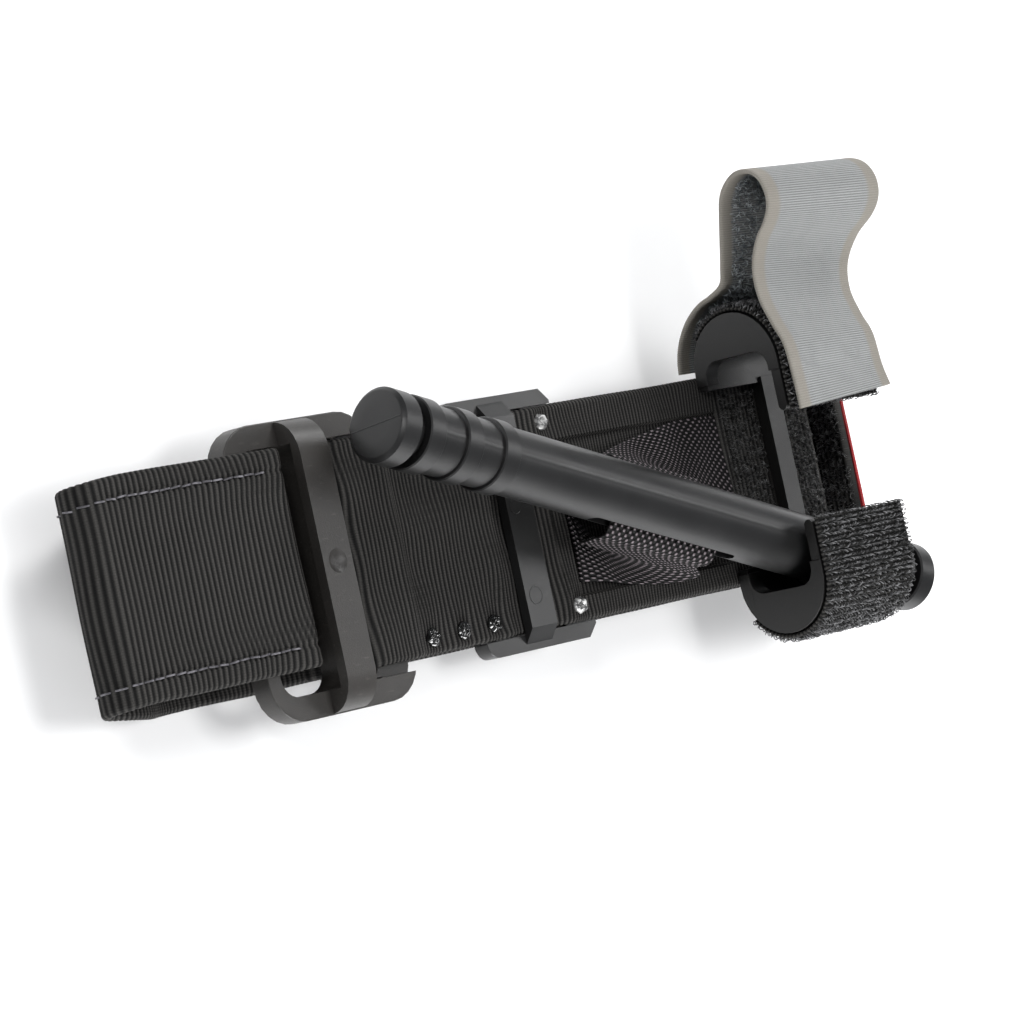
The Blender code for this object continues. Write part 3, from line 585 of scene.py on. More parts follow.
# %% Tail: upper run, left fold and the lowest run
def tail_middle(along):
    """The upper run lies to the far side and the lower run to the near side."""
    share = np.clip((along - FOLD_AT + 0.006) / 0.030, 0, 1)
    return TAIL_TOP_SHIFT + (TAIL_SHIFT - TAIL_TOP_SHIFT) * share * share * (3 - 2 * share)


def tail_ribs(along):
    """The ribs are drawn flat where the tail is folded."""
    return RIB_DEPTH * (1 - 0.6 * np.exp(-((along - FOLD_AT - 0.004) / 0.006) ** 2))


def tail_dent(x, y):
    v = y - TAIL_TOP_SHIFT
    groove = sum(np.exp(-((v - side * SEAM) / 0.0005) ** 2) for side in (-1, 1))
    return 0.00028 * groove * np.clip((x - LEFT_FOLD) / 0.002, 0, 1)


def tail_warp(x, y):
    v = y - TAIL_TOP_SHIFT
    past_fold = np.clip((x - LEFT_FOLD) / 0.03, 0, 1)
    near_rise = np.clip((x - TAIL_RISE_X + 0.012) / 0.010, 0, 1)
    bowed = 0.0009 * np.exp(-((np.abs(v) - SEAM) / 0.0035) ** 2) * past_fold
    return bowed + 0.0011 * near_rise * (v / 0.018) ** 2


TAIL_START = INNER_RIGHT_TURN - 2 * GAP
TAIL_EASE = 0.024
tail_trail = Trail(TAIL_START, RUN_Z[1], 180)
tail_trail.straight(TAIL_START - TAIL_RISE_X - RISE_BEND).bend(RISE_BEND, -90)
tail_trail.straight(TAIL_TOP_Z - RUN_Z[1] - RISE_BEND - TOP_BEND).bend(TOP_BEND, 90)
tail_trail.straight(TAIL_RISE_X - TOP_BEND - LEFT_FOLD + GAP)
FOLD_AT = tail_trail.length()
tail_trail.bend(FOLD_BEND, 180).step_over(TAIL_Z + 2 * FOLD_BEND - TAIL_TOP_Z, TAIL_EASE)
tail_trail.straight(TIP_BEND - LEFT_FOLD + GAP - TAIL_EASE).bend(TIP_RADIUS, TIP_HINGE_TURN - 6)
TAIL_LENGTH = tail_trail.length()
tail = strip("tail", tail_trail, TAIL_WIDTH, BAND_T, WEBBING, tail_middle, depth=tail_ribs, seed=3,
             per_rib=5, across=columns(TAIL_WIDTH, 26, -SEAM, SEAM), warp=tail_warp, dent=tail_dent)
placed(tail, "band", "ribbed_webbing", "band_slot_run", "band_tail")

# %% [markdown]
# The fixed end goes round the buckle's loop bar and is welded to itself. The weld dots pull the ribs
# together, so the ribs are shifted towards each dot, strongest beside it.

# %% Band round the buckle, and the run with the window
WELD_NODES = [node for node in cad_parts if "_weld_" in node]
WELD_SPOTS = [[(a + b) / 2 for a, b in zip(*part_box(node))] for node in WELD_NODES]
WELD_LINES = sorted({round(spot[1], 4) for spot in WELD_SPOTS})


def weld_warp(x, y):
    shift = 0.00035 * unevenness(x, y, 0.016, 21)
    for wx, wy, _ in WELD_SPOTS:
        near = np.exp(-(((x - wx) / 0.0032) ** 2 + ((y - wy) / 0.0050) ** 2))
        shift = shift + near * np.clip((x - wx) / 0.0016, -1, 1) * 0.00075
    return shift


def weld_dent(x, y):
    return sum(0.00040 * np.exp(-(((x - wx) / 0.0020) ** 2 + ((y - wy) / 0.0020) ** 2))
               for wx, wy, _ in WELD_SPOTS)


UNDER_Z = TOP_Z - PITCH
OVER_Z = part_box("band_buckle_loop")[1].z - BAND_T / 2
BAR_LEFT, BAR_WIDTH = -0.0264, 0.0065
DIP, DIP_DEPTH, DIP_GAP, LOOP_EASE = 0.0050, 0.0008, 0.0004, 0.006
loop_trail = Trail(LOOP_SPLICE, UNDER_Z, 180).straight(LOOP_SPLICE - LOOP_BAR_LEFT)
loop_trail.bend((OVER_Z - UNDER_Z) / 2, -180).straight(BUCKLE_HIGH.x - LOOP_BAR_LEFT)
loop_trail.step_over(TOP_Z - OVER_Z, LOOP_EASE)
loop_trail.straight(BAR_LEFT - DIP - DIP_GAP - BUCKLE_HIGH.x - LOOP_EASE).step_over(-DIP_DEPTH, DIP)
loop_trail.straight(BAR_WIDTH + 2 * DIP_GAP).step_over(DIP_DEPTH, DIP)
loop_trail.straight(SPLICE_PLATE - GAP - (BAR_LEFT + BAR_WIDTH + DIP_GAP + DIP))
loop_run = strip("band_round_buckle", loop_trail, BAND_WIDTH, BAND_T, WEBBING, seed=9,
                 across=columns(BAND_WIDTH, 26, *WELD_LINES), warp=weld_warp, dent=weld_dent,
                 pitch=FINE_PITCH, depth=FINE_DEPTH)
placed(loop_run, "band", "ribbed_webbing", "band_buckle_loop")

WINDOW = (-0.0110, SPLICE_COVER + 0.002, -0.0147, 0.0127)


def window_dent(x, y):
    left, right, low, high = WINDOW
    inside = ((x > left) & (x < right) & (y > low) & (y < high)).astype(float)
    return 0.0009 * inside + weld_dent(x, y)


window_trail = Trail(SPLICE_PLATE, TOP_Z, 0).straight(SPLICE_COVER - SPLICE_PLATE)
window_columns = columns(BAND_WIDTH, 30, WINDOW[2], WINDOW[3], *WELD_LINES)
window_run = strip("band_window", window_trail, BAND_WIDTH, BAND_T, WEBBING, seed=12,
                   across=window_columns, warp=weld_warp, dent=window_dent, pitch=FINEST_PITCH,
                   depth=FINE_DEPTH)
placed(window_run, "band", "ribbed_webbing", "band_window_run")

# %% [markdown]
# The rest of the band lies under the plate in plain folds. Only their edges show, so they need no
# dents, and fewer points for each rib.

# %% Runs under the plate
cover_trail = Trail(SPLICE_COVER + GAP, TOP_Z, 0).straight(RIGHT_TURN - SPLICE_COVER - GAP)
cover_trail.bend((TOP_Z - RUN_Z[3]) / 2, -180).straight(RIGHT_TURN - INNER_LEFT_TURN - GAP / 2)
PILE_MARGIN = 0.0008
cover = strip("band_under_clip", cover_trail, BAND_WIDTH + PILE_MARGIN, BAND_T, WEBBING, seed=14,
              per_rib=4)
placed(cover, "band", "loop_pile", "band_cover_run")

inner_trail = Trail(INNER_LEFT_TURN - GAP / 2, RUN_Z[3], 180).bend(PITCH / 2, 180)
inner_trail.straight(INNER_RIGHT_TURN - INNER_LEFT_TURN).bend(PITCH / 2, -180).straight(GAP)
inner = strip("band_folded_run", inner_trail, BAND_WIDTH, BAND_T, WEBBING, seed=16, per_rib=4)
placed(inner, "band", "loop_pile", "band_inner_fold")

tip_trail = Trail(TIP_BEND, TAIL_Z, 0).bend(TIP_RADIUS, TIP_HINGE_TURN)
tip_trail.spots = tip_trail.spots[-1:]
tip_trail.bend(TIP_RADIUS, 90 - TIP_HINGE_TURN).straight(TIP_RISE)
tip = strip("tip", tip_trail, TAIL_WIDTH, BAND_T, WEBBING, TAIL_SHIFT, seed=18)
placed(tip, "free_tip", "loop_pile", "band_tip")

tab_low, tab_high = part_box("tip_tab")
tab_trail = Trail((tab_low.x + tab_high.x) / 2, tab_low.z, 90).straight(tab_high.z - tab_low.z)
tab = strip("red_tab", tab_trail, tab_high.y - tab_low.y, tab_high.x - tab_low.x, RED, TAIL_SHIFT,
            pitch=0.0007, depth=0.00012, seed=19, lift=0.0)
placed(tab, "free_tip", "red_tab", "tip_tab")

# %% [markdown]
# ## Stitches and weld dots
# Sewing is a row of short threads that dive into the cloth at both ends. Each stitch is a small arch
# of its own, because a painted line would stay flat in a grazing light.

# %% A row of small arches
def arches(name, spots, normals, runs, width, height, wire, finish_used, segments=5, sides=3,
           turn=math.pi, lean=None):
    """Small bent wires: each starts and ends in the surface and stands up along its normal."""
    spots, normals, runs = (np.asarray(a, float) for a in (spots, normals, runs))
    runs = runs / np.linalg.norm(runs, axis=1, keepdims=True)
    aside = np.cross(normals, runs)
    width, height = (np.broadcast_to(a, len(spots))[:, None, None] for a in (width, height))
    angle = np.linspace(0, turn, segments + 1)[None, :, None]
    along, rise = runs[:, None], normals[:, None]
    middle = spots[:, None] - along * np.cos(angle) * width / 2 + rise * (np.sin(angle) * height)
    if lean is not None:
        middle = middle + aside[:, None] * np.sin(angle) * np.asarray(lean)[:, None, None]
    outer = (-along * np.cos(angle) + rise * np.sin(angle))[:, :, None]
    ring = np.linspace(0, 2 * math.pi, sides, endpoint=False)[None, None, :, None]
    points = middle[:, :, None] + wire * (outer * np.cos(ring) + aside[:, None, None] * np.sin(ring))
    each = (segments + 1) * sides
    caps = np.stack([np.arange(sides)[::-1], np.arange(sides) + segments * sides])
    starts = np.arange(len(spots))[:, None, None] * each
    faces = []
    for one in (tube_faces(segments + 1, sides), caps):
        faces += (starts + one[None]).reshape(-1, one.shape[1]).tolist()
    return closed(name, points.reshape(-1, 3), faces, finish_used)


STITCH_LENGTH, STITCH_GAP, STITCH_SINK = 0.0019, 0.0004, 0.00032
STITCHES_FROM = FOLD_AT - (TAIL_RISE_X - 0.004 - LEFT_FOLD)
STITCHES_TO = FOLD_AT + 0.0075
stitch_rows = []
for word, side in (("near", -1), ("far", 1)):
    draw = np.random.default_rng(31 + side)
    every, x, z, turn = tail_trail.spaced(STITCH_LENGTH + STITCH_GAP)
    use = (every > STITCHES_FROM) & (every < STITCHES_TO)
    every, x, z, turn = every[use], x[use], z[use], turn[use]
    count = len(x)
    normals = np.stack([np.sin(turn), np.zeros(count), -np.cos(turn)], -1)
    y = tail_middle(every) + side * SEAM + draw.uniform(-0.0001, 0.0001, count)
    spots = np.stack([x, y, z], -1) + normals * (BAND_T / 2 - STITCH_SINK)
    runs = np.stack([np.cos(turn), draw.uniform(-0.09, 0.09, count), np.sin(turn)], -1)
    row = arches(f"stitches_{word}", spots, normals, runs, STITCH_LENGTH, 0.00042,
                 0.00017, STITCH, segments=8, sides=6)
    stitch_rows.append(placed(row, "band", "sewing_thread", f"sewing_line_{word}"))

# %% [markdown]
# An ultrasonic weld melts a dot of nylon: a glossy lump with a pressed middle and an uneven rim. The
# dots on the plate are pale: a painted silvery reflection.

# %% Weld dots
def weld_dot(node, finish_used, seed):
    low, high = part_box(node)
    middle = (low + high) / 2
    rings, spokes = 8, 28
    share = np.linspace(0.0, 1.0, rings + 1)[1:, None]
    angle = np.linspace(0, 2 * math.pi, spokes, endpoint=False)[None]
    lumps = unevenness(np.cos(angle) * share, np.sin(angle) * share, 0.9, seed)
    radius = (high.x - low.x) / 2 * share * (1 + 0.10 * lumps)
    rim = np.sin(np.pi * np.clip(share * 1.04, 0, 1)) ** 0.8
    lift = rim * 0.00075 * (1 + 0.5 * lumps)
    upper = np.stack([middle.x + radius * np.cos(angle), middle.y + radius * np.sin(angle),
                      FACE_Z - 0.00025 + lift], -1).reshape(-1, 3)
    ends = [[middle.x, middle.y, FACE_Z - sunk] for sunk in (0.0001, 0.0009)]
    points = np.concatenate([upper, ends])
    return closed("dot_" + node, points, capped_tube(rings, spokes), finish_used)


dots = {"loop": [], "plate": []}
for number, node in enumerate(sorted(WELD_NODES)):
    kind = node.split("_")[0]
    dot = weld_dot(node, MELTED_PAINTED_REFLECTION if kind == "plate" else MELTED, 40 + number)
    dots[kind].append(placed(dot, "band", "melted_nylon", node))

# %% [markdown]
# ## Pile, hooks and the clip's tape
# Loop pile is a tangle of fine arches, each leaning its own way. Particle hair would be quicker to
# set up, but it isn't part of the mesh. Arches made with numpy are real geometry, and a few thousand
# of them cost little.

# %% Loop pile beside the clip and inside the tip
ARM_SPREAD, ARM_RADIUS, LIP_TIP, FOOT = 0.0196, 0.0096, 0.0100, 0.0165
ARM_Z = FACE_Z + GAP + ARM_RADIUS
PILE_ROOT = 0.00035
BASE_BAR = (CLIP_LOW.x + 0.0149, CLIP_LOW.x + 0.0193)


def random_runs(draw, normals, count):
    loose = draw.normal(size=(count, 3))
    loose = loose - normals * (loose * normals).sum(1, keepdims=True)
    return loose / np.linalg.norm(loose, axis=1, keepdims=True)


def pile(name, spots, normals, seed, finish_used, height=0.0009, width=0.0008, wire=0.00006):
    draw = np.random.default_rng(seed)
    count = len(spots)
    runs = random_runs(draw, normals, count)
    width, height = width * draw.uniform(0.5, 1.5, count), height * draw.uniform(0.45, 1.25, count)
    return arches(name, spots, normals, runs, width, height, wire, finish_used, segments=6,
                  turn=math.pi * 0.94, lean=draw.normal(0, 0.00035, count))


def scatter(draw, low, high, count):
    return [draw.uniform(a, b, count) for a, b in zip(low, high)]


draw = np.random.default_rng(51)
parts_of_pile = []
for left, right, count in ((SPLICE_COVER + 0.0012, BASE_BAR[0] - 0.0003, 1150),
                           (BASE_BAR[1] + 0.0003, RIGHT_TURN + 0.0004, 2100)):
    x, y = scatter(draw, (left, -0.0180), (right, 0.0180), count)
    under_foot = ((x > CLIP_LOW.x - 0.0004) & (x < CLIP_HIGH.x + 0.0004)
                  & (np.abs(y) > FOOT - 0.0010))
    parts_of_pile.append(np.stack([x, y], -1)[~under_foot])
flat_spots = np.concatenate(parts_of_pile)
spots = np.column_stack([flat_spots, np.full(len(flat_spots), FACE_Z - PILE_ROOT)])
up = np.tile([0, 0, 1.0], (len(spots), 1))
cover_pile = placed(pile("pile_beside_clip", spots, up, 52, PILE), "band", "loop_pile")

_, x, z, heading = tip_trail.spaced(0.0001)
pick = draw.integers(0, len(x), 1500)
x, z, heading = x[pick], z[pick], heading[pick]
normals = np.stack([-np.sin(heading), np.zeros(len(pick)), np.cos(heading)], -1)
spots = np.stack([x, draw.uniform(-0.0172, 0.0172, len(pick)) + TAIL_SHIFT, z], -1)
spots = spots + normals * (BAND_T / 2 - PILE_ROOT)
tip_pile = placed(pile("pile_in_tip", spots, normals, 53, PILE), "free_tip", "loop_pile")

# %% [markdown]
# Hook tape is glued round the back and lip of each arm. Its hooks stand in close rows along the arm,
# slanting one way in one row and the other way in the next, which is what gives it its coarse knit.

# %% Hook tape on the arms
TAPE_T = 0.0009
TAPE_RADIUS = ARM_RADIUS + GAP + TAPE_T / 2
ROW_PITCH, HOOK_PITCH = 0.00086, 0.00056
HOOK_SIZE, HOOK_SINK = 0.00085, 0.00022
STRAP_REST = math.radians(156)
TAPE_FROM, TAPE_ARC = -52, 142
TAPE_MIDDLE = (CLIP_LOW.x + CLIP_HIGH.x) / 2
TAPE_WIDTH = CLIP_HIGH.x - CLIP_LOW.x - 0.0005
taped = []
for word, side in (("near", -1), ("far", 1)):
    start = math.radians(TAPE_FROM)
    trail = Trail(ARM_SPREAD + TAPE_RADIUS * math.cos(start), ARM_Z + TAPE_RADIUS * math.sin(start),
                  90 + TAPE_FROM)
    trail.bend(TAPE_RADIUS, TAPE_ARC).straight(ARM_SPREAD - LIP_TIP)
    tape = strip(f"hook_tape_{word}", trail, TAPE_WIDTH, TAPE_T, WEBBING, TAPE_MIDDLE,
                 pitch=ROW_PITCH, depth=0.00018, per_rib=4, lift=0.0, seed=61, side=side)
    placed(tape, "band", "hook_tape", f"hook_patch_{word}")
    _, first, second, heading = trail.spaced(ROW_PITCH)
    across = np.arange(-TAPE_WIDTH / 2 + 0.0005, TAPE_WIDTH / 2 - 0.0002, HOOK_PITCH)
    row, column = np.meshgrid(np.arange(len(first)), np.arange(len(across)), indexing="ij")
    row, column = row.ravel(), column.ravel()
    draw = np.random.default_rng(62 + side)
    count = len(row)
    out = np.stack([np.zeros(count), side * np.sin(heading[row]), -np.cos(heading[row])], -1)
    onward = np.stack([np.zeros(count), side * np.cos(heading[row]), np.sin(heading[row])], -1)
    slant = np.where(row % 2 == 0, 1.0, -1.0) * 0.7 + draw.normal(0, 0.14, count)
    runs = onward * slant[:, None] + np.array([1.0, 0, 0])
    runs = runs - out * (runs * out).sum(1, keepdims=True)
    x = TAPE_MIDDLE + across[column] + draw.normal(0, 0.00008, count)
    place = np.stack([x, side * first[row], second[row]], -1)
    place = place + out * (TAPE_T / 2 - HOOK_SINK) + onward * draw.normal(0, 0.00008, count)[:, None]
    pinched = np.where((side > 0) & (np.abs(heading[row] - STRAP_REST) < 0.5), 0.55, 1.0)
    long = HOOK_SIZE * draw.uniform(0.8, 1.25, count)
    tall = HOOK_SIZE * pinched * draw.uniform(0.7, 1.25, count)
    hooks = arches(f"hooks_{word}", place, out, runs, long, tall, 0.00011, HOOKS, segments=6,
                   turn=math.pi * 0.9, lean=draw.normal(0, 0.00012, count))
    placed(hooks, "band", "hook_tape")
    taped.append((tape, hooks, trail.length()))

# %% [markdown]
# ## Retaining strap
# The strap is one tape: fixed under the far arm, out into a loop and back over the lip. Its far edge
# stands higher than its near edge, so it is a ruled surface between two edge lines of its own.

# %% Two edge lines and the tape between them
STRAP_T, STRAP_WIDTH, STRAP_RADIUS, HINGE_TURN = 0.0013, 0.0254, 0.0135, -12.0
STRAP_RIB = 0.00042


def round_arm(degrees):
    """A (y, z) place on the arc that the strap makes round the far arm."""
    turn = math.radians(degrees)
    return (ARM_SPREAD + STRAP_RADIUS * math.cos(turn), ARM_Z + STRAP_RADIUS * math.sin(turn))


fixed_end = [round_arm(-86 + 74 * k / 7) for k in range(8)]
NEAR_EDGE = [
    (.0345, .0230), (.0380, .0242), (.0453, .0260), (.0495, .0272), (.0519, .0292), (.0531, .0317),
    (.0528, .0344), (.0514, .0364), (.0488, .0375), (.0459, .0374), (.0433, .0359), (.0403, .0332),
    (.0357, .0312), (.0305, .0312), (.0254, .0329), (.0212, .0346), (.0146, .0351), (.0095, .0352)]
FAR_EDGE = [
    (.0345, .0232), (.0382, .0248), (.0450, .0275), (.0490, .0300), (.0514, .0330), (.0524, .0365),
    (.0518, .0398), (.0502, .0419), (.0476, .0430), (.0446, .0426), (.0419, .0404), (.0389, .0360),
    (.0346, .0326), (.0296, .0317), (.0246, .0331), (.0208, .0347), (.0149, .0353), (.0110, .0362)]


def through(points, per_span=12):
    """A smooth curve through points, with the same number of steps in each span."""
    points = np.asarray(points, float)
    ends = np.concatenate([[2 * points[0] - points[1]], points, [2 * points[-1] - points[-2]]])
    t = np.linspace(0, 1, per_span, endpoint=False)[:, None]
    spans = []
    for a, b, c, d in zip(ends, ends[1:], ends[2:], ends[3:]):
        spans.append(0.5 * (2 * b + (c - a) * t + (2 * a - 5 * b + 4 * c - d) * t ** 2
                            + (3 * b - a - 3 * c + d) * t ** 3))
    return np.concatenate(spans + [points[-1:]])


def evenly(near, far, step):
    """Both lines read again at even steps of their mean length."""
    steps = np.linalg.norm(np.diff((near + far) / 2, axis=0), axis=1)
    along = np.concatenate([[0], np.cumsum(steps)])
    at = np.linspace(0, along[-1], int(along[-1] / step) + 2)
    return at, *(np.stack([np.interp(at, along, part) for part in line.T], -1) for line in (near, far))


def draped(name, at, middle, across, thickness, pitch, depth, finish_used, width):
    """A closed cloth round a grid of middle points. across runs from 0 to 1 over its width."""
    normal = np.cross(np.gradient(middle, axis=1), np.gradient(middle, axis=0))
    normal = normal / np.linalg.norm(normal, axis=-1, keepdims=True)
    s = at[:, None] + 0 * across[None]
    v = (across[None] - 0.5) * width + 0 * at[:, None]
    ridge = np.abs(np.cos(math.pi * s / pitch)) ** 0.75
    edge = np.clip((np.abs(v) - (width / 2 - 0.0006)) / 0.0006, 0, 1)
    half = (thickness / 2 * np.sqrt(1 - (edge * 0.9) ** 2) + depth * (ridge - 1))[..., None]
    upper, lower = middle + normal * half, middle - normal * half
    return cloth_between(name, upper, lower, (s, v, ridge), finish_used), normal


GREY_TAPE = finish("grey_strap", grey_weave(STRAP_WIDTH / 2, 0.0026))
STRAP_X = [TAPE_MIDDLE - STRAP_WIDTH / 2, TAPE_MIDDLE + STRAP_WIDTH / 2]
edges = []
for x, line in zip(STRAP_X, (NEAR_EDGE, FAR_EDGE)):
    curve = through(fixed_end + line)
    edges.append(np.column_stack([np.full(len(curve), x), curve]))
at, near, far = evenly(*edges, STRAP_RIB / 4)
strap_across = (columns(STRAP_WIDTH, 14) + STRAP_WIDTH / 2) / STRAP_WIDTH
share = strap_across[None, :, None]
strap, strap_normal = draped("retaining_strap", at, near[:, None] * (1 - share) + far[:, None] * share,
                             strap_across, STRAP_T * 0.7, STRAP_RIB, 0.00009, GREY_TAPE, STRAP_WIDTH)
turn = math.radians(HINGE_TURN)
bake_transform(strap)
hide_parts("strap_anchor", "strap_loop")
STRAP_LENGTH = float(at[-1])
print("strap:", round(STRAP_LENGTH * 1000, 1), "mm long")

# %% [markdown]
# The side that faces the arm is loop pile. The same fine arches are set on the strap's own inner face.

# %% Pile on the strap's inner face
draw = np.random.default_rng(71)
count = 3200
row = draw.integers(int(0.10 * len(at)), len(at) - 8, count)
column = draw.uniform(0.11, 0.89, count)
inner_spot = near[row] * (1 - column[:, None]) + far[row] * column[:, None]
inward = strap_normal[row, len(strap_across) // 2]
middle_heading = np.gradient((near + far) / 2, axis=0)[row]
left_of_run = np.stack([np.zeros(count), -middle_heading[:, 2], middle_heading[:, 1]], -1)
inward = inward * np.sign((inward * left_of_run).sum(1, keepdims=True))
strap_pile = pile("strap_pile", inner_spot + inward * (STRAP_T * 0.35 - 0.0002), inward, 72, GREY_PILE,
                  height=0.0008, width=0.0009, wire=0.00007)
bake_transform(strap_pile)
print("strap pile:", count, "loops")

# %% [markdown]
# ## Inner band
# A second, narrower band runs inside the sleeve and through the rod's slot. It comes out of the window
# from both ends, turns up on its edge beside the rod and passes through.

# %% The path of the inner band and its two lobes
ROD_MIDDLE = Vector((0.0, -0.0025, FACE_Z + 0.01265))
ROD_YAW, ROD_PITCH = math.radians(-17.6), math.radians(3.65)
ROD_ALONG = np.array([math.cos(ROD_YAW), math.sin(ROD_YAW)])
ROD_ASIDE = np.array([-ROD_ALONG[1], ROD_ALONG[0]])
INNER_T, INNER_WIDTH = 0.0008, 0.0254


def through_slot(slide, side, rise):
    """A point by its place along the rod, its side of the rod and its height above the rod's axis."""
    flat = np.array([ROD_MIDDLE.x, ROD_MIDDLE.y]) + ROD_ALONG * slide + ROD_ASIDE * side
    return (flat[0], flat[1], ROD_MIDDLE.z - slide * math.tan(ROD_PITCH) + rise)


LOW = FACE_Z + 0.0001
RIGHT_FAR = [(0.0338, 0.0121, LOW), (0.0290, 0.0123, LOW + 0.0004), (0.0200, 0.0122, LOW + 0.0012),
             (0.0110, 0.0110, LOW + 0.0022), (0.0020, 0.0098, LOW + 0.0034)]
RIGHT_NEAR = [(0.0338, -0.0112, LOW), (0.0305, -0.0092, LOW + 0.0003), (0.0265, -0.0062, LOW + 0.0010),
              (0.0220, -0.0030, LOW + 0.0026), (0.0165, 0.0004, LOW + 0.0046)]
LEFT_FAR = [(-0.0106, 0.0028, LOW), (-0.0108, 0.0008, LOW + 0.0004), (-0.0112, -0.0018, LOW + 0.0014),
            (-0.0124, -0.0040, LOW + 0.0032), (-0.0140, -0.0056, LOW + 0.0050)]
LEFT_NEAR = [(-0.0106, -0.0124, LOW), (-0.0030, -0.0136, LOW + 0.0002), (0.0050, -0.0152, LOW + 0.0002),
             (0.0120, -0.0160, LOW + 0.0010), (0.0162, -0.0157, LOW + 0.0034)]


def slot_end(slide, side):
    """From the rod's side to the middle of its slot."""
    return [through_slot(slide, side * aside, rise)
            for aside, rise in ((0.0074, -0.0046), (0.0071, -0.0016), (0.0042, 0.0))]


first_line = np.array(RIGHT_FAR + slot_end(-0.0118, 1) + [through_slot(-0.0110, 0.0, 0.0)]
                      + slot_end(-0.0135, -1)[::-1] + LEFT_FAR[::-1])
second_line = np.array(RIGHT_NEAR + slot_end(0.0118, 1) + [through_slot(0.0135, 0.0, 0.0)]
                       + slot_end(0.0152, -1)[::-1] + LEFT_NEAR[::-1])
at, one, two = evenly(through(first_line, 14), through(second_line, 14), 0.0003)
inner_across = np.linspace(0, 1, 46)
share = inner_across[None, :, None]
middle = one[:, None] * (1 - share) + two[:, None] * share
settle = np.clip(1 - (middle[..., 2] - FACE_Z) / 0.006, 0, 1)
ripple = unevenness(middle[..., 0], middle[..., 1], 0.016, 81) * 0.0006 * settle
middle[..., 2] = np.maximum(middle[..., 2] + ripple, FACE_Z + INNER_T / 2 + 0.0001 - 0.0008 * settle)
inner_band, _ = draped("inner_band", at, middle, inner_across, INNER_T * 0.8, 2 * INNER_YARN, 0.0,
                       INNER, INNER_WIDTH)
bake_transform(inner_band)
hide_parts("inner_band_left", "inner_band_right", "inner_band_loop")
INNER_LENGTH = float(at[-1])
print("inner band shows", round(INNER_LENGTH * 1000, 1), "mm of its length")

# %% [markdown]
# ## Windlass rod
# The rod is moulded in two halves of a mould, so it is a body of revolution with one fine seam along
# its top and bottom and a parting line across its end. Turning a profile round its axis gives the
# rings and grooves, and a cutter in the shape of a long rounded slab makes the slot.

# %% Rod: profile, turning and slot
ROD_HALF, ROD_RADIUS, RIB_RADIUS = 0.0730, 0.0058, 0.00635
FIRST_RING, RING_SPACING, RING_LENGTH = 0.0066, 0.0092, 0.0038
SLOT_HALF_LENGTH, SLOT_HALF_HEIGHT = 0.0195, 0.0013


def rod_profile():
    """(distance from the middle, radius) along one half, from the shaft to the end."""
    rim, waist, groove = RIB_RADIUS, 0.00572, 0.0048
    marks = [(0.0, ROD_RADIUS), (0.0440, ROD_RADIUS), (0.0447, waist)]
    for ring in (2, 1, 0):
        high = ROD_HALF - FIRST_RING - RING_SPACING * ring
        low = high - RING_LENGTH
        marks += [(low - 0.00012, waist + 0.0001), (low, rim - 0.00016), (low + 0.00018, rim)]
        marks += [(high - 0.00025, rim), (high, rim - 0.0002)]
        if ring:
            marks += [(high + 0.0001, waist), (high + 0.0051, waist + 0.00008)]
    marks += [(high + 0.00005, groove), (ROD_HALF - 0.0047, groove), (ROD_HALF - 0.0046, rim - 0.0003)]
    marks += [(ROD_HALF - 0.0043, rim), (ROD_HALF - 0.0007, rim), (ROD_HALF - 0.0001, rim - 0.00055)]
    return np.array(marks + [(ROD_HALF, rim - 0.0008), (ROD_HALF, 0.0030)])


coarse = rod_profile()
half_marks = [coarse[0]]
for before, after in zip(coarse, coarse[1:]):
    steps = max(1, int(abs(after[0] - before[0]) / 0.0016))
    half_marks += [before + (after - before) * k / steps for k in range(1, steps + 1)]
half_marks = np.array(half_marks)
marks = np.concatenate([half_marks[::-1], half_marks[1:] * [-1, 1]])
spokes = 96
angle = np.linspace(0, 2 * math.pi, spokes, endpoint=False)
seam = sum(np.exp(-(np.angle(np.exp(1j * (angle - at_angle))) / 0.035) ** 2)
           for at_angle in (0.0, math.pi))
on_shaft = (marks[:, 1:2] > 0.0045) & (marks[:, 1:2] < 0.0059)
radius = marks[:, 1:2] + 0.00007 * seam[None] * on_shaft
ring = np.stack([radius * np.cos(angle), radius * np.sin(angle), marks[:, :1] + 0 * radius], -1)
points = np.concatenate([ring.reshape(-1, 3), [[0, 0, ROD_HALF], [0, 0, -ROD_HALF]]])
rod = closed("rod", points, capped_tube(len(marks), spokes), PLASTIC_ROD)
print("rod profile has", len(marks), "rings")

# %% [markdown]
# The slot is cut by a Boolean with a slab that has round ends. Its result is kept as the rod's own
# mesh, and only then is the rod laid in its place, so the cut is made along straight axes.

# %% Slot, and the rod in its place
outline = [(SLOT_HALF_HEIGHT * math.cos(t),
            SLOT_HALF_LENGTH - SLOT_HALF_HEIGHT + SLOT_HALF_HEIGHT * math.sin(t))
           for t in np.linspace(0, math.pi, 9)]
outline += [(-x, -z) for x, z in outline]
cutter = piece("rod_slot_cutter", [], [])
work = bmesh.new()
low_face = work.faces.new([work.verts.new((x, -0.01, z)) for x, z in outline])
moved = bmesh.ops.extrude_face_region(work, geom=[low_face])["geom"]
moved = [part for part in moved if isinstance(part, bmesh.types.BMVert)]
bmesh.ops.translate(work, vec=(0, 0.02, 0), verts=moved)
bmesh.ops.recalc_face_normals(work, faces=work.faces)
work.to_mesh(cutter.data)
work.free()
slot_cut = rod.modifiers.new("slot", "BOOLEAN")
slot_cut.operation, slot_cut.solver, slot_cut.object = "DIFFERENCE", "EXACT", cutter
bpy.context.view_layer.update()
cut_mesh = bpy.data.meshes.new_from_object(rod.evaluated_get(bpy.context.evaluated_depsgraph_get()))
rod.modifiers.clear()
rod.data = cut_mesh
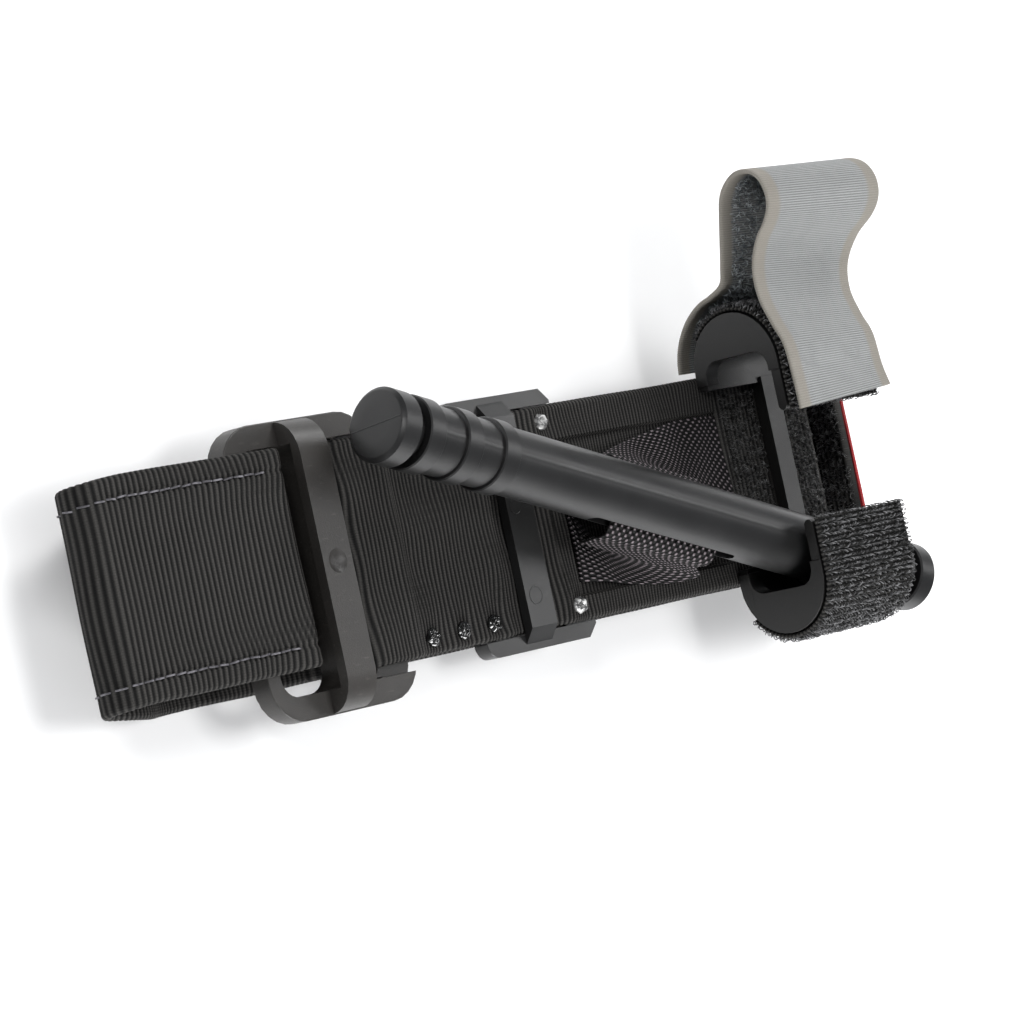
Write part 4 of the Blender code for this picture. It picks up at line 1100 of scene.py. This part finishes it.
bpy.data.objects.remove(cutter)
rod_along = Vector((*(math.cos(ROD_PITCH) * ROD_ALONG), -math.sin(ROD_PITCH)))
rod_aside = Vector((0, 0, 1)).cross(rod_along).normalized()
rod_turn = Matrix((rod_aside.cross(-rod_along), rod_aside, -rod_along)).transposed()
rod_place = Matrix.Translation(ROD_MIDDLE) @ rod_turn.to_4x4()
rod.data.transform(rod_place)
rod.data.shade_smooth()
rod.data.set_sharp_from_angle(angle=math.radians(30))
placed(rod, "windlass", "moulded_plastic", "windlass_rod")

LINE_LONG, LINE_WIDE, LINE_DEEP = 0.0108, 0.00010, 0.00008
corners = [(y * LINE_LONG / 2, x * LINE_WIDE, ROD_HALF + z) for z in (-2 * LINE_DEEP, LINE_DEEP)
           for x, y in ((-1, -1), (1, -1), (1, 1), (-1, 1))]
box_faces = [(0, 1, 2, 3), (7, 6, 5, 4), (0, 4, 5, 1), (1, 5, 6, 2), (2, 6, 7, 3), (3, 7, 4, 0)]
parting = closed("rod_parting_line", corners, box_faces, SMOOTH_PLASTIC, smooth=False)
parting.data.transform(rod_place @ Matrix.Rotation(math.radians(7), 4, "Z"))
placed(parting, "windlass", "moulded_plastic")

# %% [markdown]
# ## Hard pieces
# The buckle, the plate and the clip keep the CAD's own solids. A bevel rounds their edges, which is
# where moulded plastic catches a bright line.

# %% Edge radii and finishes
HARD_PIECES = [("buckle", 0.00022, BUCKLE_PLASTIC), ("stabiliser_plate", 0.00025, SMOOTH_PLASTIC),
               ("rod_clip", 0.00022, PLASTIC)]
for node, width, paint in HARD_PIECES:
    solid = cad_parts[node]
    solid.data.materials.clear()
    solid.data.materials.append(paint)
    weld = solid.modifiers.new("weld", "WELD")
    weld.merge_threshold = 1e-5
    rounding = solid.modifiers.new("rounding", "BEVEL")
    rounding.width, rounding.segments, rounding.limit_method = width, 3, "ANGLE"
    rounding.angle_limit = math.radians(32)
    rounding.harden_normals = True
    solid.data.shade_smooth()
    evened = solid.modifiers.new("evened", "WEIGHTED_NORMAL")
    evened.keep_sharp = True
    print(node, "has edge radii of", width * 1000, "mm")

# %% [markdown]
# The pins that push the plate out of its mould leave faint round marks on its bar. Each is a thin disc
# with a low rim, set into the face.

# %% Marks of the mould's ejector pins
BAR_TOP = FACE_Z + 0.0013


def pin_mark(name, x, y, radius):
    deep, proud, sides = 0.0003, 0.00006, 32
    turn = np.linspace(0, 2 * math.pi, sides, endpoint=False)
    rings = [(radius, -deep), (radius, proud), (radius * 0.88, proud), (radius * 0.84, proud / 4)]
    points = [(x + r * math.cos(t), y + r * math.sin(t), BAR_TOP + z) for r, z in rings for t in turn]
    first, last = list(range(sides))[::-1], [(len(rings) - 1) * sides + k for k in range(sides)]
    faces = tube_faces(len(rings), sides).tolist() + [first, last]
    return placed(closed(name, points, faces, SMOOTH_PLASTIC, smooth=False), "band", "moulded_plastic")


pin_mark("pin_mark_far", -0.0243, 0.0026, 0.0014)
pin_mark("pin_mark_near", -0.0238, -0.0130, 0.00165)

# %% [markdown]
# ## Cloth, floor and the end
# Every piece of cloth prints the size it was cut to.

# %% Sizes of the cloth pieces
def folded(piece_of_cloth, width, length, *with_pieces, rests_on=()):
    print(f"{piece_of_cloth.name}: {width * 1000:.1f} by {length * 1000:.1f} mm flat")


folded(tail, TAIL_WIDTH, TAIL_LENGTH, *stitch_rows, rests_on=["buckle"])
folded(loop_run, BAND_WIDTH, loop_trail.length(), *dots["loop"],
       rests_on=["buckle", "stabiliser_plate"])
folded(window_run, BAND_WIDTH, window_trail.length(), *dots["plate"], rests_on=["stabiliser_plate"])
folded(cover, BAND_WIDTH, cover_trail.length(), cover_pile, rests_on=["stabiliser_plate"])
folded(inner, BAND_WIDTH, inner_trail.length(), rests_on=["tail"])
folded(tip, TAIL_WIDTH, tip_trail.length(), tab, tip_pile)
for tape, hooks, length in taped:
    folded(tape, TAPE_WIDTH, length, hooks, rests_on=["rod_clip"])
folded(strap, STRAP_WIDTH, STRAP_LENGTH, strap_pile, rests_on=["rod_clip"])
folded(inner_band, INNER_WIDTH, INNER_LENGTH, rests_on=["band_window", "rod"])

# %% [markdown]
# The floor is only there to catch the shadow, so it is not one of the pieces.

# %% Floor and the end
corners = [(-3, -3, -0.0005), (3, -3, -0.0005), (3, 3, -0.0005), (-3, 3, -0.0005)]
floor = piece("floor", corners, [(0, 1, 2, 3)], FLOOR)
print("floor:", floor.name)
